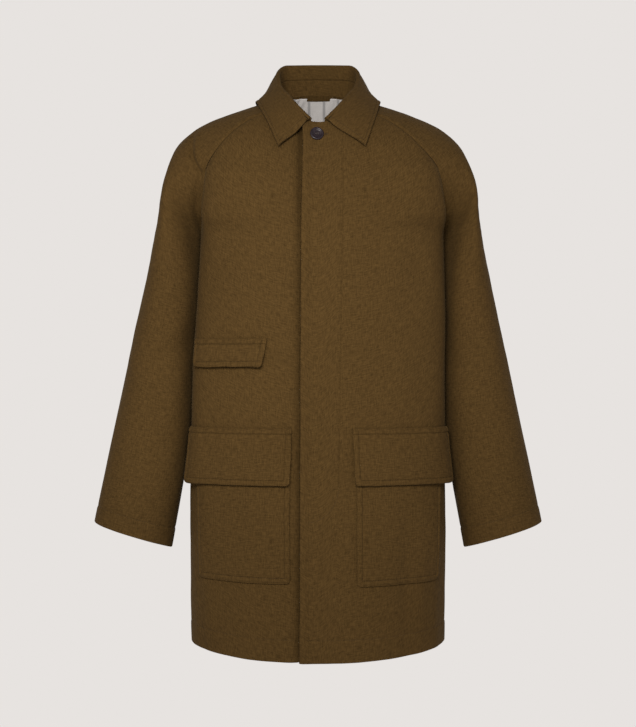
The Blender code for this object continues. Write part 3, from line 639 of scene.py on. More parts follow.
def gridFaces(rows, columns):
    index = np.arange(rows * columns).reshape(rows, columns)
    return np.stack([index[:-1, :-1], index[:-1, 1:], index[1:, 1:], index[1:, :-1]], axis=-1).reshape(-1, 4)


def spun(name, profile, sides, near, inward=False):
    # A closed form turned round the upright axis.
    builder = bmesh.new()
    ring = [builder.verts.new((r, 0.0, z)) for r, z in profile]
    geom = ring + [builder.edges.new(pair) for pair in zip(ring, ring[1:])]
    bmesh.ops.spin(builder, geom=geom, axis=(0, 0, 1), cent=(0, 0, 0), steps=sides, angle=math.tau, use_merge=True)
    bmesh.ops.remove_doubles(builder, verts=builder.verts, dist=near)
    bmesh.ops.recalc_face_normals(builder, faces=builder.faces)
    if inward:
        bmesh.ops.reverse_faces(builder, faces=builder.faces)
    return meshOf(name, builder)


def meshOf(name, builder):
    mesh = bpy.data.meshes.new(name)
    builder.to_mesh(mesh)
    builder.free()
    return mesh


def shellMesh(name, points, u, v, wall):
    # A closed thin shell on a grid of points, with rounded edges.
    rows, columns = points.shape[:2]
    normal = gridNormals(points)
    half = np.broadcast_to(wall, (rows, columns))[..., None] / 2
    ring = [(0, c) for c in range(columns)] + [(r, columns - 1) for r in range(1, rows)]
    ring += [(rows - 1, c) for c in range(columns - 2, -1, -1)] + [(r, 0) for r in range(rows - 2, 0, -1)]
    ringRow, ringColumn = np.array(ring).T
    down, along = np.gradient(points, axis=0), np.gradient(points, axis=1)
    push = np.zeros((len(ring), 3))
    for way, place, last in ((down, ringRow, rows - 1), (along, ringColumn, columns - 1)):
        push += unit(way)[ringRow, ringColumn] * ((place == last) * 1.0 - (place == 0))[:, None]
    edge, facing, rimHalf = points[ringRow, ringColumn], normal[ringRow, ringColumn], half[ringRow, ringColumn]
    rounding = wool["rim"] * rimHalf
    push = unit(push - (push * facing).sum(1, keepdims=True) * facing)
    drawnIn = points.copy()
    drawnIn[ringRow, ringColumn] = edge - push * rounding
    outer = (drawnIn + normal * half).reshape(-1, 3)
    inner = (drawnIn - normal * half).reshape(-1, 3)
    arc = [
        edge - push * rounding * (1 - math.cos(a)) + facing * rimHalf * math.sin(a)
        for a in np.radians([54, 18, -18, -54])
    ]
    verts = np.concatenate([outer, inner, *arc])
    quad = gridFaces(rows, columns)
    rim = ringRow * columns + ringColumn
    count, total = len(ring), rows * columns
    bands = [rim, *(2 * total + k * count + np.arange(count) for k in range(4)), rim + total]
    faces = [quad, quad[:, ::-1] + total]
    for first, second in zip(bands, bands[1:]):
        faces.append(np.stack([first, second, np.roll(second, -1), np.roll(first, -1)], axis=-1))
    mesh = bpy.data.meshes.new(name)
    mesh.from_pydata(verts.tolist(), [], np.concatenate(faces).tolist())
    flat = np.stack([u, -v], axis=-1).reshape(-1, 2)
    flat = np.concatenate([flat, flat] + [flat[rim]] * 4)
    corner = np.empty(len(mesh.loops), dtype=np.int32)
    mesh.loops.foreach_get("vertex_index", corner)
    mesh.uv_layers.new(name="cloth").data.foreach_set("uv", flat[corner].ravel())
    mesh.shade_smooth()
    return mesh


def addPiece(name, mesh, look, slot, *nodes):
    piece = bpy.data.objects.new(name, mesh)
    mesh.materials.clear()
    mesh.materials.append(look)
    scene.collection.objects.link(piece)
    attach(piece, "root")
    if nodes:
        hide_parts(*nodes)
    return piece


def clothPiece(node, points, u, v, wall, look="wool", slot="olive_wool"):
    return addPiece("cloth_" + node, shellMesh("cloth_" + node, points, u, v, wall), looks[look], slot, node)


# Rows of stitches, as instances along a path that carries the way the cloth faces


def stitchTree():
    tree = bpy.data.node_groups.new("stitchLine", "GeometryNodeTree")
    tree.interface.new_socket("Geometry", in_out="INPUT", socket_type="NodeSocketGeometry")
    kinds = {"Seed": "Int", "Thread": "Material"}
    for word in ("Spacing", "Length", "Width", "Height", "Seed", "Thread"):
        tree.interface.new_socket(word, in_out="INPUT", socket_type="NodeSocket" + kinds.get(word, "Float"))
    tree.interface.new_socket("Geometry", in_out="OUTPUT", socket_type="NodeSocketGeometry")
    given = tree.nodes.new("NodeGroupInput").outputs
    path = addNode(tree, "GeometryNodeMeshToCurve", {"Mesh": given["Geometry"]}).outputs[0]
    spacing = {"Curve": path, "Length": given["Spacing"]}
    path = addNode(tree, "GeometryNodeResampleCurve", spacing, mode="LENGTH").outputs[0]
    facing = addNode(tree, "GeometryNodeInputNamedAttribute", {"Name": "facing"}, data_type="FLOAT_VECTOR")
    along = addNode(tree, "GeometryNodeInputTangent")
    ways = {"Primary Axis": along.outputs[0], "Secondary Axis": facing.outputs["Attribute"]}
    turn = addNode(tree, "FunctionNodeAxesToRotation", ways, primary_axis="X", secondary_axis="Z").outputs[0]
    limits = {2: 0.86, 3: 1.12, "Seed": given["Seed"]}
    vary = addNode(tree, "FunctionNodeRandomValue", limits, data_type="FLOAT").outputs[1]
    size = addNode(tree, "ShaderNodeCombineXYZ", {0: given["Length"], 1: given["Width"], 2: given["Height"]}).outputs[0]
    size = addNode(tree, "ShaderNodeVectorMath", {0: size, "Scale": vary}, operation="SCALE").outputs[0]
    stitch = addNode(tree, "GeometryNodeMeshUVSphere", {"Segments": 6, "Rings": 5, "Radius": 0.5}).outputs["Mesh"]
    placed = {"Points": path, "Instance": stitch, "Rotation": turn, "Scale": size}
    row = addNode(tree, "GeometryNodeInstanceOnPoints", placed).outputs[0]
    row = addNode(tree, "GeometryNodeRealizeInstances", {"Geometry": row}).outputs[0]
    row = addNode(tree, "GeometryNodeSetShadeSmooth", {"Geometry": row}).outputs[0]
    row = addNode(tree, "GeometryNodeSetMaterial", {"Geometry": row, "Material": given["Thread"]}).outputs[0]
    end = tree.nodes.new("NodeGroupOutput")
    tree.links.new(row, end.inputs["Geometry"])
    return tree


stitchLine = stitchTree()
stitchSize = {"Spacing": 0.0034, "Length": 0.0027, "Width": 0.00065, "Height": 0.0005, "Seed": 4}
holeSize = {"Spacing": 0.0008, "Length": 0.0007, "Width": 0.0026, "Height": 0.0009, "Seed": 9}


def stitching(name, paths, size=stitchSize, thread="thread", side=1):
    points, facing = (mirrored(np.concatenate(part), side) for part in zip(*paths))
    edges, base = [], 0
    for p, _ in paths:
        edges += [(base + k, base + k + 1) for k in range(len(p) - 1)]
        base += len(p)
    line = bpy.data.meshes.new(name + "_line")
    line.from_pydata(points.tolist(), edges, [])
    line.attributes.new("facing", "FLOAT_VECTOR", "POINT").data.foreach_set("vector", facing.ravel())
    guide = bpy.data.objects.new(name + "_line", line)
    scene.collection.objects.link(guide)
    modifier = guide.modifiers.new("Stitches", "NODES")
    modifier.node_group = stitchLine
    values = {**size, "Thread": looks[thread]}
    for socket in stitchLine.interface.items_tree:
        if socket.in_out == "INPUT" and socket.name in values:
            modifier[socket.identifier] = values[socket.name]
    made = bpy.data.meshes.new_from_object(guide.evaluated_get(bpy.context.evaluated_depsgraph_get()))
    guide.modifiers.remove(modifier)
    bpy.data.objects.remove(guide)
    bpy.data.meshes.remove(line)
    made.name = name
    return addPiece(name, made, looks[thread], None)


def gridPath(panel, rows, columns, off):
    # Points on a panel's outer face at fractions of its rows and columns.
    rows, columns = np.broadcast_arrays(np.asarray(rows, float), np.asarray(columns, float))
    r = np.clip(np.floor(rows).astype(int), 0, panel["points"].shape[0] - 2)
    c = np.clip(np.floor(columns).astype(int), 0, panel["points"].shape[1] - 2)
    a, b = (rows - r)[:, None], (columns - c)[:, None]

    def between(values):
        upper, lower = (values[k, c] * (1 - b) + values[k, c + 1] * b for k in (r, r + 1))
        return upper * (1 - a) + lower * a

    facing = unit(between(panel["normal"]))
    return between(panel["points"]) + facing * off, facing


threadOff = 0.00005  # a stitch's middle lies this far off the cloth
sunk = wool["wall"] / 2 + threadOff
bodyPieces = {
    "front_left": {"panel": "frontLeft", "side": 1, "flat": (0.31, 0.865), "area": 0.236},
    "front_right": {"panel": "frontRight", "side": -1, "flat": (0.32, 0.865), "area": 0.245},
    "back": {"panel": "back", "side": 1, "flat": (0.56, 0.905), "area": 0.429},
}
for half, panel, flat, area in (("front", "fore", (0.24, 0.75), 0.130), ("back", "rear", (0.25, 0.75), 0.134)):
    for word, side in (("left", 1), ("right", -1)):
        spec = {"panel": panel + word.title(), "side": side, "flat": flat, "area": area}
        bodyPieces[f"sleeve_{half}_{word}"] = spec
for node, spec in bodyPieces.items():
    panel = finished[spec["panel"]]
    wall = wool["wall"]
    if node == "front_left":  # its edge is turned in, so it is thicker
        wall = wall + closing["turnedEdge"] * smoothStep(1.2 - rowRun(panel["points"]) / closing["turnedRun"])
    clothPiece(node, mirrored(panel["points"], spec["side"]), panel["u"], panel["v"], wall)
    line = cuffLine if node.startswith("sleeve") else hemLine
    row = placeIn(line["level"], panel["level"])
    columns = np.linspace(1.0, panel["points"].shape[1] - 2.0, 160)
    paths = [gridPath(panel, np.full(160, row), columns, sunk)]
    if node == "front_left":
        column = steps["flyEdge"] + len(besideLine) // 2  # the grid line under the fly's stitches
        rows = placeIn(np.linspace(flyStitch["firstLevel"], flyStitch["curveLevel"], 120), bodyLevel)
        paths.append(gridPath(panel, rows, np.full(120, column), sunk))
        turn = np.linspace(0, math.pi / 2, 24)  # and their curve to the front edge
        lowRow = placeIn(flyStitch["curveLevel"] + flyStitch["curveDrop"] * np.sin(turn), bodyLevel)
        run = panel["u"][np.round(lowRow).astype(int)]
        reach = run[:, 0] + 0.001 + (run[:, column] - run[:, 0] - 0.001) * np.cos(turn) ** 0.8
        paths.append(gridPath(panel, lowRow, [placeIn(a, r) for a, r in zip(reach, run)], sunk))
    spec["stitches"] = stitching("stitching_" + node, paths, side=spec["side"])
print("stage 3: panels as cloth, with hem, cuff and fly stitches")

pocketCloth = {
    "wall": 0.0026, "seat": 0.014, "band": 0.0085, "edgeStitch": 0.0078, "step": 0.0036,
    "sewnGap": 0.00025, "sewnRun": 0.0045, "firstStitch": 0.012, "stitchCorner": 0.003, "full": 0.0007, "fullRun": 0.02,
    "rim": 0.0008, "rimRun": 0.0036, "edgeRelief": (0.0005, 0.0011, 0.0013), "bandRelief": (0.0011, 0.0015, 0.0014),
}


def spaced(length, step, marks):
    # Places along a length, closer together beside the marks.
    plain = np.linspace(0, length, max(3, int(round(length / step)) + 1))
    for mark in marks:
        plain = plain[(np.abs(plain - mark) > lineClear["pockets"]) | (plain == 0) | (plain == length)]
        plain = np.concatenate([plain, mark + besideLine])
    plain = np.unique(np.clip(plain, 0, length))
    return plain[np.concatenate([[True], np.diff(plain) > lineClear["least"]])]


def onFront(front, arc, height):
    # Points of a front and the way it faces, by arc length from the centre and by height, row by row.
    where = placeIn(-height, -front["height"])
    low = np.clip(np.floor(where).astype(int), 0, len(front["height"]) - 2)
    points, facing = np.empty((*arc.shape, 3)), np.empty((*arc.shape, 3))
    for k in range(len(arc)):
        part = where[k] - low[k]
        run = front["u"][low[k]] * (1 - part) + front["u"][low[k] + 1] * part
        for values, into in ((front["points"], points), (front["normal"], facing)):
            row = values[low[k]] * (1 - part) + values[low[k] + 1] * part
            into[k] = np.stack([np.interp(arc[k], run, row[:, axis]) for axis in range(3)], axis=-1)
    return points, unit(facing)


def cornerDraw(above, corner):
    # How far a side draws in for the round corner, by height above the lower edge.
    inside = np.clip((corner - above) / corner, 0, 1)
    return corner * (1 - np.sqrt(1 - inside**2))


def pocketPiece(front, spec):
    tall = spec["top"] - spec["bottom"]
    edge = pocketCloth["edgeStitch"]
    marks = [tall - edge] + ([pocketCloth["band"]] if spec["lift"] else [])
    fallen = spaced(tall, pocketCloth["step"], marks)
    for corner in (spec["corner"], spec["frontCorner"]):
        fallen = np.concatenate([fallen, tall - corner * np.array([1, 0.7, 0.45, 0.25, 0.1, 0.03])])
    fallen = np.unique(fallen)
    wide = spec["span"][1] - spec["span"][0]
    across = spaced(wide, pocketCloth["step"], [edge, wide - edge]) / wide
    height = spec["top"] - fallen
    start = spec["span"][0] + cornerDraw(tall - fallen, spec["frontCorner"]) + spec["slant"] * fallen / tall
    end = spec["span"][1] - cornerDraw(tall - fallen, spec["corner"])
    arc = start[:, None] + (end - start)[:, None] * across
    share, hang = np.tile(across, (len(height), 1)), (fallen / tall)[:, None]
    wave = spec["wave"] * hang**2 * np.sin(math.tau * (spec["waves"] * share + spec["phase"]))
    points, facing = onFront(front, arc, height)
    toEdge = np.minimum(np.minimum(arc - start[:, None], end[:, None] - arc), (tall - fallen)[:, None])
    off = wool["wall"] / 2 + wool["lieGap"] + pocketCloth["wall"] / 2
    off = off + spec["over"] * np.clip(fallen / pocketCloth["seat"], 0, 1)[:, None]
    off = off + spec["lift"] * hang**1.5 + spec["flare"] * hang * share**3
    off = off + spec["curl"] * hang * (1 - share) ** 5 + wave
    # The edge's row of stitches, the full middle and the round rim.
    off = off + stitchRow(toEdge - edge, *pocketCloth["edgeRelief"])
    off = off + pocketCloth["full"] * smoothStep((toEdge - edge) / pocketCloth["fullRun"])
    off = off + pocketCloth["rim"] * smoothStep(toEdge / pocketCloth["rimRun"])
    if spec["lift"]:
        off = off + stitchRow(fallen[:, None] - pocketCloth["band"], *pocketCloth["bandRelief"])
    sewn = fallen[:, None] if spec["lift"] else toEdge  # a flap's top, and a patch's sides and foot, lie on the front
    seat = (wool["wall"] + pocketCloth["wall"]) / 2 + pocketCloth["sewnGap"]
    off = seat + (off - seat) * smoothStep(sewn / pocketCloth["sewnRun"])
    points = points + facing * off[..., None]
    panel = {"points": points, "normal": facing, "u": arc, "v": columnRun(points)}
    return panel, fallen, across


def pocketStitches(panel, fallen, across, spec):
    # One row round the free edges, and on a flap a second row below its sewn edge.
    tall, wide = spec["top"] - spec["bottom"], spec["span"][1] - spec["span"][0]
    edge = pocketCloth["edgeStitch"]
    first, corner = pocketCloth["band" if spec["lift"] else "firstStitch"], pocketCloth["stitchCorner"]
    bend = np.linspace(0, math.pi / 2, 9)
    down = np.concatenate([np.linspace(first, tall - edge - corner, 60), tall - edge - corner * (1 - np.sin(bend[1:]))])
    side = np.concatenate([np.full(60, edge), edge + corner * (1 - np.cos(bend[1:]))])
    fall = np.concatenate([down, np.full(60, tall - edge), down[::-1]])
    span = np.concatenate([side, np.linspace(edge + corner, wide - edge - corner, 60), wide - side[::-1]])
    off = pocketCloth["wall"] / 2 + threadOff
    paths = [gridPath(panel, placeIn(fall, fallen), placeIn(span / wide, across), off)]
    if spec["lift"]:
        line = np.linspace(0.0015, wide - 0.0015, 80)
        bandRow = np.full(80, placeIn(pocketCloth["band"], fallen))
        paths.append(gridPath(panel, bandRow, placeIn(line / wide, across), off))
    return paths


plainPatch = dict.fromkeys(("curl", "slant", "over", "lift", "flare", "wave", "waves", "phase"), 0.0)
patch = {**plainPatch, "top": -0.526, "corner": 0.012, "frontCorner": 0.006}
flap = {
    "top": -0.507, "bottom": -0.593, "corner": 0.010, "frontCorner": 0.004, "curl": 0.001, "slant": 0.003,
    "over": 0.0023, "lift": 0.0045, "flare": 0.0045, "waves": 1.0,
}
pocketPieces = {
    "pocket_right": {**patch, "side": -1, "bottom": -0.737, "span": (0.0445, 0.205), "flat": (0.161, 0.215)},
    "pocket_left": {**patch, "side": 1, "bottom": -0.741, "span": (0.0580, 0.207), "flat": (0.149, 0.215)},
    "flap_right": {**flap, "side": -1, "span": (0.0420, 0.226), "wave": 0.0008, "phase": 0.1, "flat": (0.184, 0.089)},
    "flap_left": {**flap, "side": 1, "span": (0.0520, 0.232), "wave": 0.0007, "phase": 0.4, "flat": (0.180, 0.089)},
    "flap_ticket": {
        **flap, "over": 0.0, "flare": 0.0, "curl": 0.0045, "slant": 0.007, "top": -0.372, "bottom": -0.415, "side": -1,
        "span": (0.0785, 0.208), "wave": 0.0014, "waves": 1.3, "phase": 0.55, "flat": (0.1295, 0.046),
    },
}
for node, spec in pocketPieces.items():
    front = finished["frontLeft" if spec["side"] > 0 else "frontRight"]
    panel, fallen, across = pocketPiece(front, spec)
    clothPiece(node, mirrored(panel["points"], spec["side"]), panel["u"], panel["v"], pocketCloth["wall"])
    paths = pocketStitches(panel, fallen, across, spec)
    spec["stitches"] = stitching("stitching_" + node, paths, side=spec["side"])
print("stage 4: pockets and flaps")

collarCloth = {
    "wall": 0.0026, "standShare": 0.55, "fold": 0.0030, "clear": 0.0007, "frontGap": 0.010,
    "pointShift": 0.006, "edgeStitch": 0.006, "columns": 110, "halfLength": 0.215,
    "mostFold": 0.30, "leave": 0.32, "arrive": 0.30, "belly": 0.05, "leastFall": 0.046, "wave": 0.0007, "waveRun": 0.04,
    "relief": (0.0004, 0.0005, 0.0011),
}


def neckRing(along, start=0.0):
    level = np.array([start, start + 0.02])
    t = np.tile(np.linspace(0, 1, 80), (2, 1))
    back, front = (halfPoints(half, level, t, "left")[0] for half in ("back", "front"))
    rear, fore = (bezier(sleeveEnds(half, level, "left"), t)[0] for half in ("back", "front"))
    ring = np.concatenate([back, rear[1:], fore[-2::-1], front[-2::-1]])
    ring = ring[ring[:, 0] > collarCloth["frontGap"] * (ring[:, 1] < 0) - 1e-9]
    run = np.concatenate([[0], np.linalg.norm(np.diff(ring, axis=0), axis=1).cumsum()])
    return np.stack([np.interp(along * run[-1], run, ring[:, k]) for k in range(3)], axis=-1)


def bodyTree():
    points, faces = [], []
    for spec in bodyPieces.values():
        grid = mirrored(finished[spec["panel"]]["points"], spec["side"])[::2, ::2]
        faces += (len(points) + gridFaces(*grid.shape[:2])).tolist()
        points += grid.reshape(-1, 3).tolist()
    return BVHTree.FromPolygons(points, faces)


def spread(values, pick, reach, axis):
    # The largest or the mean of each value's neighbours.
    wide = np.pad(values, [(reach, reach) if k == axis else (0, 0) for k in range(values.ndim)], mode="edge")
    count = values.shape[axis]
    return pick([np.take(wide, np.arange(k, k + count), axis=axis) for k in range(2 * reach + 1)], axis=0)


def liftOff(points, tree, clear):
    # Moves points off the cloth below them, evenly, so the cloth lies on it without kinks.
    short, facing = np.zeros(points.shape[:2]), np.empty(points.shape)
    for index in np.ndindex(points.shape[:2]):
        place, normal, _, _ = tree.find_nearest(Vector(points[index]))
        if normal.dot(Vector((place.x, place.y, 0.12))) < 0:
            normal = -normal
        facing[index] = normal
        short[index] = max(0, clear - (Vector(points[index]) - place).dot(normal))
    for axis, reach in ((0, 5), (1, 2)):
        short = spread(short, np.max, reach, axis)
    for axis, reach in ((0, 5), (0, 5), (1, 2), (1, 2)):
        short, facing = spread(short, np.mean, reach, axis), spread(facing, np.mean, reach, axis)
    return points + unit(facing) * short[..., None]


def collarPieces():
    tip = np.array([0.3, 0.8, 1.5, 2.6, 4.0, 5.0, 5.6, 6.0, 6.4, 7.0, 8.5]) * 1e-3 / collarCloth["halfLength"]
    plain = np.linspace(0, 1 - 0.0105 / collarCloth["halfLength"], collarCloth["columns"])  # up to the front ends
    along = np.concatenate([plain, 1 - tip[::-1], [1.0]])
    half = [neckRing(along), neckRing(along, 0.1)]
    half += [readRows(collarRows, along, *(line + axis for axis in "XYZ")) for line in ("roll", "edge")]
    neck, below, roll, edge = (np.concatenate([mirrored(p, -1)[:0:-1], p]) for p in half)
    away = np.concatenate([along[:0:-1], along])
    edge[:, 0] += collarCloth["pointShift"] * smoothStep((away - 0.5) / 0.5)
    rise = np.linalg.norm(roll - neck, axis=1, keepdims=True)
    up = (roll - neck) / rise
    out = edge - roll
    out = unit(out - (out * up).sum(1, keepdims=True) * up)
    radius = np.minimum(collarCloth["fold"], rise * collarCloth["mostFold"])
    split = collarCloth["standShare"] * rise
    gap = wool["seamGap"] / 2
    # The stand's round edge rests on the round edges of the panels, whichever way they slope there.
    slope = (up * unit(below - neck)).sum(1, keepdims=True)
    bodyRim, standRim = (wool["rim"] * cloth["wall"] / 2 for cloth in (wool, collarCloth))
    both = (wool["wall"] + collarCloth["wall"]) / 2
    apart = bodyRim + standRim + (both - bodyRim - standRim) * (1 + slope)
    foot = bodyRim * slope + np.sqrt(apart**2 - bodyRim**2 * (1 - slope**2)) - standRim + wool["seamGap"]
    stand = [neck + up * (foot + (split - gap - foot) * s) for s in np.linspace(0, 1, 9)]
    fall = [neck + up * (split + gap + (rise - radius - split - gap) * s) for s in np.linspace(0, 1, 6)[:-1]]
    centre = roll - up * radius + out * radius
    for angle in np.linspace(0, math.pi, 13):
        fall.append(centre + radius * (up * math.sin(angle) - out * math.cos(angle)))
    start = fall[-1]
    length = np.linalg.norm(edge - start, axis=1, keepdims=True)
    leave = start + unit(out - up) * length * collarCloth["leave"]
    arrive = edge + unit(start - edge) * length * collarCloth["arrive"] + unit(up + out) * length * collarCloth["belly"]
    fromEdge = np.array([20, 16, 12.5, 10, 8.5, 7.4, 6.7, 6.0, 5.3, 4.6, 3.4, 2.2, 1.2, 0.5, 0]) * 1e-3
    upper = np.tile(np.linspace(0, 0.55, 10)[1:], (len(start), 1))
    share = np.concatenate([upper, 1 - fromEdge / np.maximum(length, collarCloth["leastFall"])], axis=1)
    share = np.maximum.accumulate(share, axis=1)
    falling = bezier((start, leave, arrive, edge), share)
    return np.stack(stand, axis=1), np.stack(fall, axis=1), falling, share, length, away


stand, fold, falling, fallShare, fallLength, collarAway = collarPieces()
clear = wool["wall"] / 2 + collarCloth["wall"] / 2 + collarCloth["clear"]
falling = liftOff(falling, bodyTree(), clear)
fall = np.concatenate([fold, falling], axis=1)
fallNormal = gridNormals(fall)
fallNormal *= np.sign(fallNormal[len(fall) // 2, -3, 1])  # outwards at the centre back
edgeAway = np.concatenate([np.full(fold.shape[:2], 0.05), (1 - fallShare) * fallLength], axis=1)
endAway = ((1 - collarAway) * collarCloth["halfLength"])[:, None]
toEdge = np.minimum(edgeAway, np.maximum(endAway, 0))
onFall = np.concatenate([np.zeros(fold.shape[:2]), smoothStep(fallShare / 0.15)], axis=1)
wave = collarCloth["wave"] * np.sin(np.arange(len(fall))[:, None] * 0.11 + 1.0)
wave = wave * smoothStep(1 - edgeAway / collarCloth["waveRun"])
detail = stitchRow(toEdge - collarCloth["edgeStitch"], *collarCloth["relief"])
fall = fall + fallNormal * ((detail + np.maximum(wave, -0.0003)) * onFall)[..., None]
for node, points in (("collar_stand", stand), ("collar_fall", fall)):
    clothPiece(node, points, columnRun(points), rowRun(points), collarCloth["wall"])
collarPanel = {"points": fall, "normal": fallNormal}
rows = np.arange(len(fall))
edgeColumn = np.array([placeIn(-collarCloth["edgeStitch"], -away) for away in edgeAway])
off = collarCloth["wall"] / 2 + threadOff
inside = endAway[:, 0] >= collarCloth["edgeStitch"] - 1e-6
firstRow = np.interp(collarCloth["edgeStitch"], endAway[len(fall) // 2 :, 0][::-1], rows[: len(fall) // 2 + 1])
endColumns = np.linspace(fold.shape[1] + 1, edgeColumn[rows[inside][0]], 40)
paths = [gridPath(collarPanel, rows[inside].astype(float), edgeColumn[inside], off)]
for row in (firstRow, len(fall) - 1 - firstRow):
    paths.append(gridPath(collarPanel, np.full(40, row), endColumns, off))
collarStitches = stitching("stitching_collar_fall", paths)
print("stage 5: collar")

lining = {"levels": (0.0125, 5.385), "share": ((0, 1.2, 3, 5.4), (0.81, 0.72, 0.62, 0.62)), "wall": 0.0010}
insideGrid = {"columns": 91, "rowsPerLevel": 18, "leastRows": 7}
wrinkles = {"across": 0.040, "down": 0.012, "spread": 0.016, "small": 0.0011, "broad": 0.0005}
loop = {"levels": (0.0, 0.25), "half": 0.0295, "wall": 0.0016, "off": 0.0014, "bow": 0.0008}


def insideBack(levels, share, depth, lumps):
    # A piece inside the back, on its own points moved in, with lumps that stand off it.
    columns, least = insideGrid["columns"], insideGrid["leastRows"]
    count = max(least, int((levels[1] - levels[0]) * insideGrid["rowsPerLevel"]))
    level = np.linspace(*levels, count)
    column = (steps["back"] - 1) / 2 * (1 + np.interp(level, *share)[:, None] * np.linspace(-1, 1, columns))
    path = gridPath(finished["back"], np.repeat(placeIn(level, bodyLevel), columns), column.ravel(), 0.0)
    points, facing = (part.reshape(count, columns, 3) for part in path)
    u = rowRun(points)
    u = u - u[:, columns // 2, None]
    return points - facing * (depth + lumps(u, columnRun(points)))[..., None], u


def crumple(u, v):
    # Small wrinkles beside the loop, where the lining is caught at the neck, and broad ones below.
    beside = bump((np.abs(u) - wrinkles["across"]) / wrinkles["spread"])
    beside = beside * bump((v - wrinkles["down"]) / wrinkles["spread"])
    small = wrinkles["small"] * (1 + np.sin(math.tau * (u / 0.0125 + v / 0.03) + 0.6)) * beside
    return small + wrinkles["broad"] * (1 + np.sin(math.tau * (u / 0.071 + v / 0.19))) * smoothStep(v / 0.03)


depth = wool["wall"] / 2 + wool["lieGap"] + lining["wall"] / 2
points, u = insideBack(lining["levels"], lining["share"], depth + 0.0002, crumple)
clothPiece("lining", points, u, columnRun(points), lining["wall"], "lining", "pale_lining")
depth += lining["wall"] / 2 + wool["lieGap"] + loop["wall"] / 2 + loop["off"]
loopLevel = np.linspace(*loop["levels"], insideGrid["leastRows"])
loopShare = (loopLevel, shareAtWidth("back", loopLevel, loop["half"]))
points, u = insideBack(loop["levels"], loopShare, depth, lambda u, v: loop["bow"] * bump(u / 0.02))
points += np.array([0.0, -0.0005, 0.0065])  # caught in the seam of the stand
clothPiece("hanger_loop", points, u, columnRun(points), loop["wall"])
print("stage 6: lining and hanger loop")

buttonSize = {
    "radius": 0.0105, "height": 0.0034, "holeRadius": 0.0011, "holeReach": 0.0022, "level": 0.80, "across": -0.002,
    "tilt": math.radians(14), "sides": 56,
}
buttonProfile = (
    (0.00, 0.62), (0.30, 0.63), (0.52, 0.66), (0.62, 0.72), (0.70, 0.88), (0.76, 0.97), (0.83, 1.00), (0.90, 0.95),
    (0.96, 0.82), (1.00, 0.60), (0.98, 0.36), (0.90, 0.14), (0.76, 0.03), (0.60, 0.00), (0.00, 0.00),
)


front = finished["frontLeft"]
holeRow = placeIn(buttonSize["level"], bodyLevel)
acrossRow = front["points"][int(round(holeRow)), :, 0]


def buttonPlace():
    column = placeIn(buttonSize["across"], acrossRow)
    seat, facing = gridPath(front, np.array([holeRow]), np.array([column]), wool["wall"] / 2 + wool["seamGap"])
    facing = Vector(facing[0])
    tilt = Matrix.Rotation(buttonSize["tilt"], 4, "X")  # it hangs forward on its thread
    seat = Matrix.Translation(Vector(seat[0]) + facing * buttonSize["radius"] * math.sin(buttonSize["tilt"]) / 2)
    return seat @ tilt @ facing.to_track_quat("Z", "Y").to_matrix().to_4x4()


def turnedButton():
    profile = [(s * buttonSize["radius"], h * buttonSize["height"]) for s, h in buttonProfile]
    turned = bpy.data.objects.new("turned", spun("turned", profile, buttonSize["sides"], 1e-6))
    scene.collection.objects.link(turned)
    drills = []
    for k in range(4):
        builder, bore = bmesh.new(), buttonSize["holeRadius"]
        bmesh.ops.create_cone(builder, cap_ends=True, segments=14, radius1=bore, radius2=bore, depth=0.02)
        drill = bpy.data.objects.new(f"drill{k}", meshOf(f"drill{k}", builder))
        angle = math.pi / 4 + k * math.pi / 2
        drill.location = (math.cos(angle) * buttonSize["holeReach"], math.sin(angle) * buttonSize["holeReach"], 0)
        scene.collection.objects.link(drill)
        cut = turned.modifiers.new(drill.name, "BOOLEAN")
        cut.object, cut.operation = drill, "DIFFERENCE"
        drills.append(drill)
    mesh = bpy.data.meshes.new_from_object(turned.evaluated_get(bpy.context.evaluated_depsgraph_get()))
    for extra in [turned, *drills]:
        bpy.data.objects.remove(extra)
    mesh.set_sharp_from_angle(angle=math.radians(50))
    return mesh


place = buttonPlace()
mesh = turnedButton()
mesh.transform(place)
addPiece("horn_button", mesh, looks["horn"], "dark_horn", "button")
thread = []
facing = list(place.to_3x3() @ Vector((0, 0, 1)))
bar = ((-1, 0.30), (-0.8, 0.64), (-0.4, 0.74), (0.4, 0.74), (0.8, 0.64), (1, 0.30))  # along and up
reach, rise = buttonSize["holeReach"] * 0.85, buttonSize["height"]
for side in (-1, 1):  # two bars of thread across the holes, and the ends going down them
    for dx in (-0.00028, 0.00028):
        x = side * buttonSize["holeReach"] * 0.707 + dx
        points = np.array([place @ Vector((x, s * reach, rise * h)) for s, h in bar])
        thread.append((points, np.array([facing] * len(bar))))
barSize = {"Spacing": 0.0004, "Length": 0.0009, "Width": 0.0005, "Height": 0.0005, "Seed": 2}
stitching("thread_button", thread, barSize, "buttonThread")

turn = np.linspace(0, math.tau, 61)
slot = {"start": -0.004, "end": 0.0150, "half": 0.0011}
middle, reach = (slot["start"] + slot["end"]) / 2, (slot["end"] - slot["start"]) / 2
acrossX = middle + reach * np.clip(np.cos(turn) * 1.06, -1, 1)
upDown = slot["half"] * np.sin(turn)
columns = placeIn(acrossX, acrossRow)
beside = front["points"][int(holeRow) : int(holeRow) + 2, steps["flyEdge"]]
rows = holeRow + upDown / np.linalg.norm(beside[1] - beside[0])
stitching("stitching_buttonhole", [gridPath(front, rows, columns, wool["wall"] / 2 + 2 * threadOff)], holeSize)
print("stage 7: button and buttonhole")

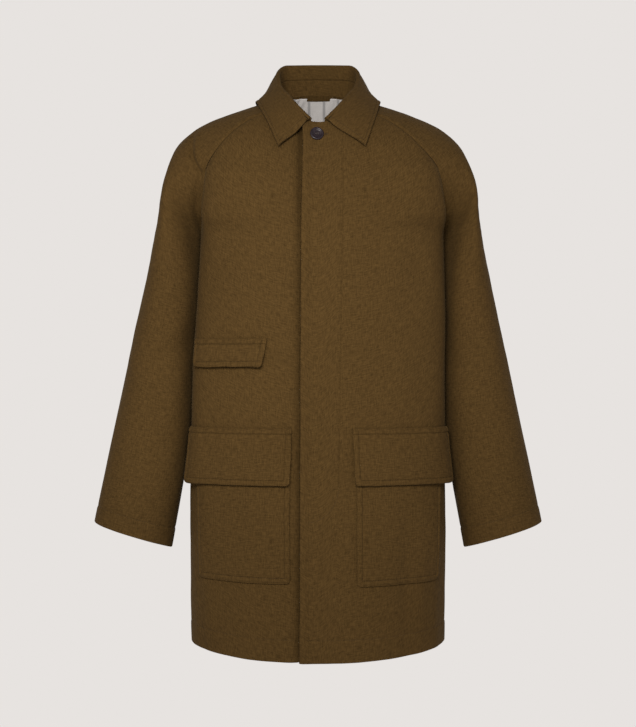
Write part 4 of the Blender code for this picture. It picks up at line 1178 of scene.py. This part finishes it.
# A plain pale floor that sweeps up into a round backdrop, and soft light
stage = {"floor": -1.42, "flat": 3.6, "sweep": 2.6, "top": 5.5, "colour": (0.799, 0.768, 0.745, 1)}
lamps = {
    "keyLight": {"place": (-0.20, -1.90, 0.22), "aim": (-0.12, 0.0, -0.35), "power": 8.2},
    "backLight": {"place": (0.10, 1.90, 0.22), "aim": (0.0, 0.0, -0.35), "power": 8.4},
}
lampShape = {"size": 0.9, "size_y": 0.5, "spread": math.radians(66), "color": (1.0, 0.98, 0.95)}


def backdrop():
    floor, flat, sweep = stage["floor"], stage["flat"], stage["sweep"]
    profile = [(0.0, floor), (flat, floor)]
    for angle in np.linspace(0, math.pi / 2, 17)[1:]:
        profile.append((flat + sweep * math.sin(angle), floor + sweep * (1 - math.cos(angle))))
    mesh = spun("floor", [*profile, (flat + sweep, stage["top"])], 64, 1e-5, inward=True)
    mesh.shade_smooth()
    look = bpy.data.materials.new("paleFloor")
    look.use_nodes = True
    look.node_tree.nodes.clear()
    glow = addNode(look.node_tree, "ShaderNodeEmission", {"Color": stage["colour"], "Strength": 1.0})
    end = look.node_tree.nodes.new("ShaderNodeOutputMaterial")
    look.node_tree.links.new(glow.outputs[0], end.inputs["Surface"])
    mesh.materials.append(look)
    floor = bpy.data.objects.new("floor", mesh)
    scene.collection.objects.link(floor)


def softLight(name, place, aim, power):
    lamp = bpy.data.lights.new(name, "AREA")
    lamp.shape, lamp.energy = "RECTANGLE", power
    for key, value in lampShape.items():
        setattr(lamp, key, value)
    holder = bpy.data.objects.new(name, lamp)
    holder.location = place
    holder.rotation_euler = (Vector(aim) - Vector(place)).to_track_quat("-Z", "Y").to_euler()
    holder.visible_camera = False
    scene.collection.objects.link(holder)


backdrop()
for name, spec in lamps.items():
    softLight(name, **spec)
world = bpy.data.worlds.new("studio")
world.use_nodes = True
sky = world.node_tree.nodes["Background"].inputs
sky["Color"].default_value, sky["Strength"].default_value = (0.80, 0.77, 0.75, 1), 0.25
scene.world = world
scene.view_settings.view_transform = "Standard"

camera = bpy.data.cameras.new("camera")
camera.lens, camera.sensor_width, camera.clip_end = 68.09, 36, 60
holder = bpy.data.objects.new("camera", camera)
holder.location = (0.0, -2.2, -0.4096)
holder.rotation_euler = (math.radians(90), 0, 0)
scene.collection.objects.link(holder)
scene.camera = holder
print("stage 9: floor, light and camera")
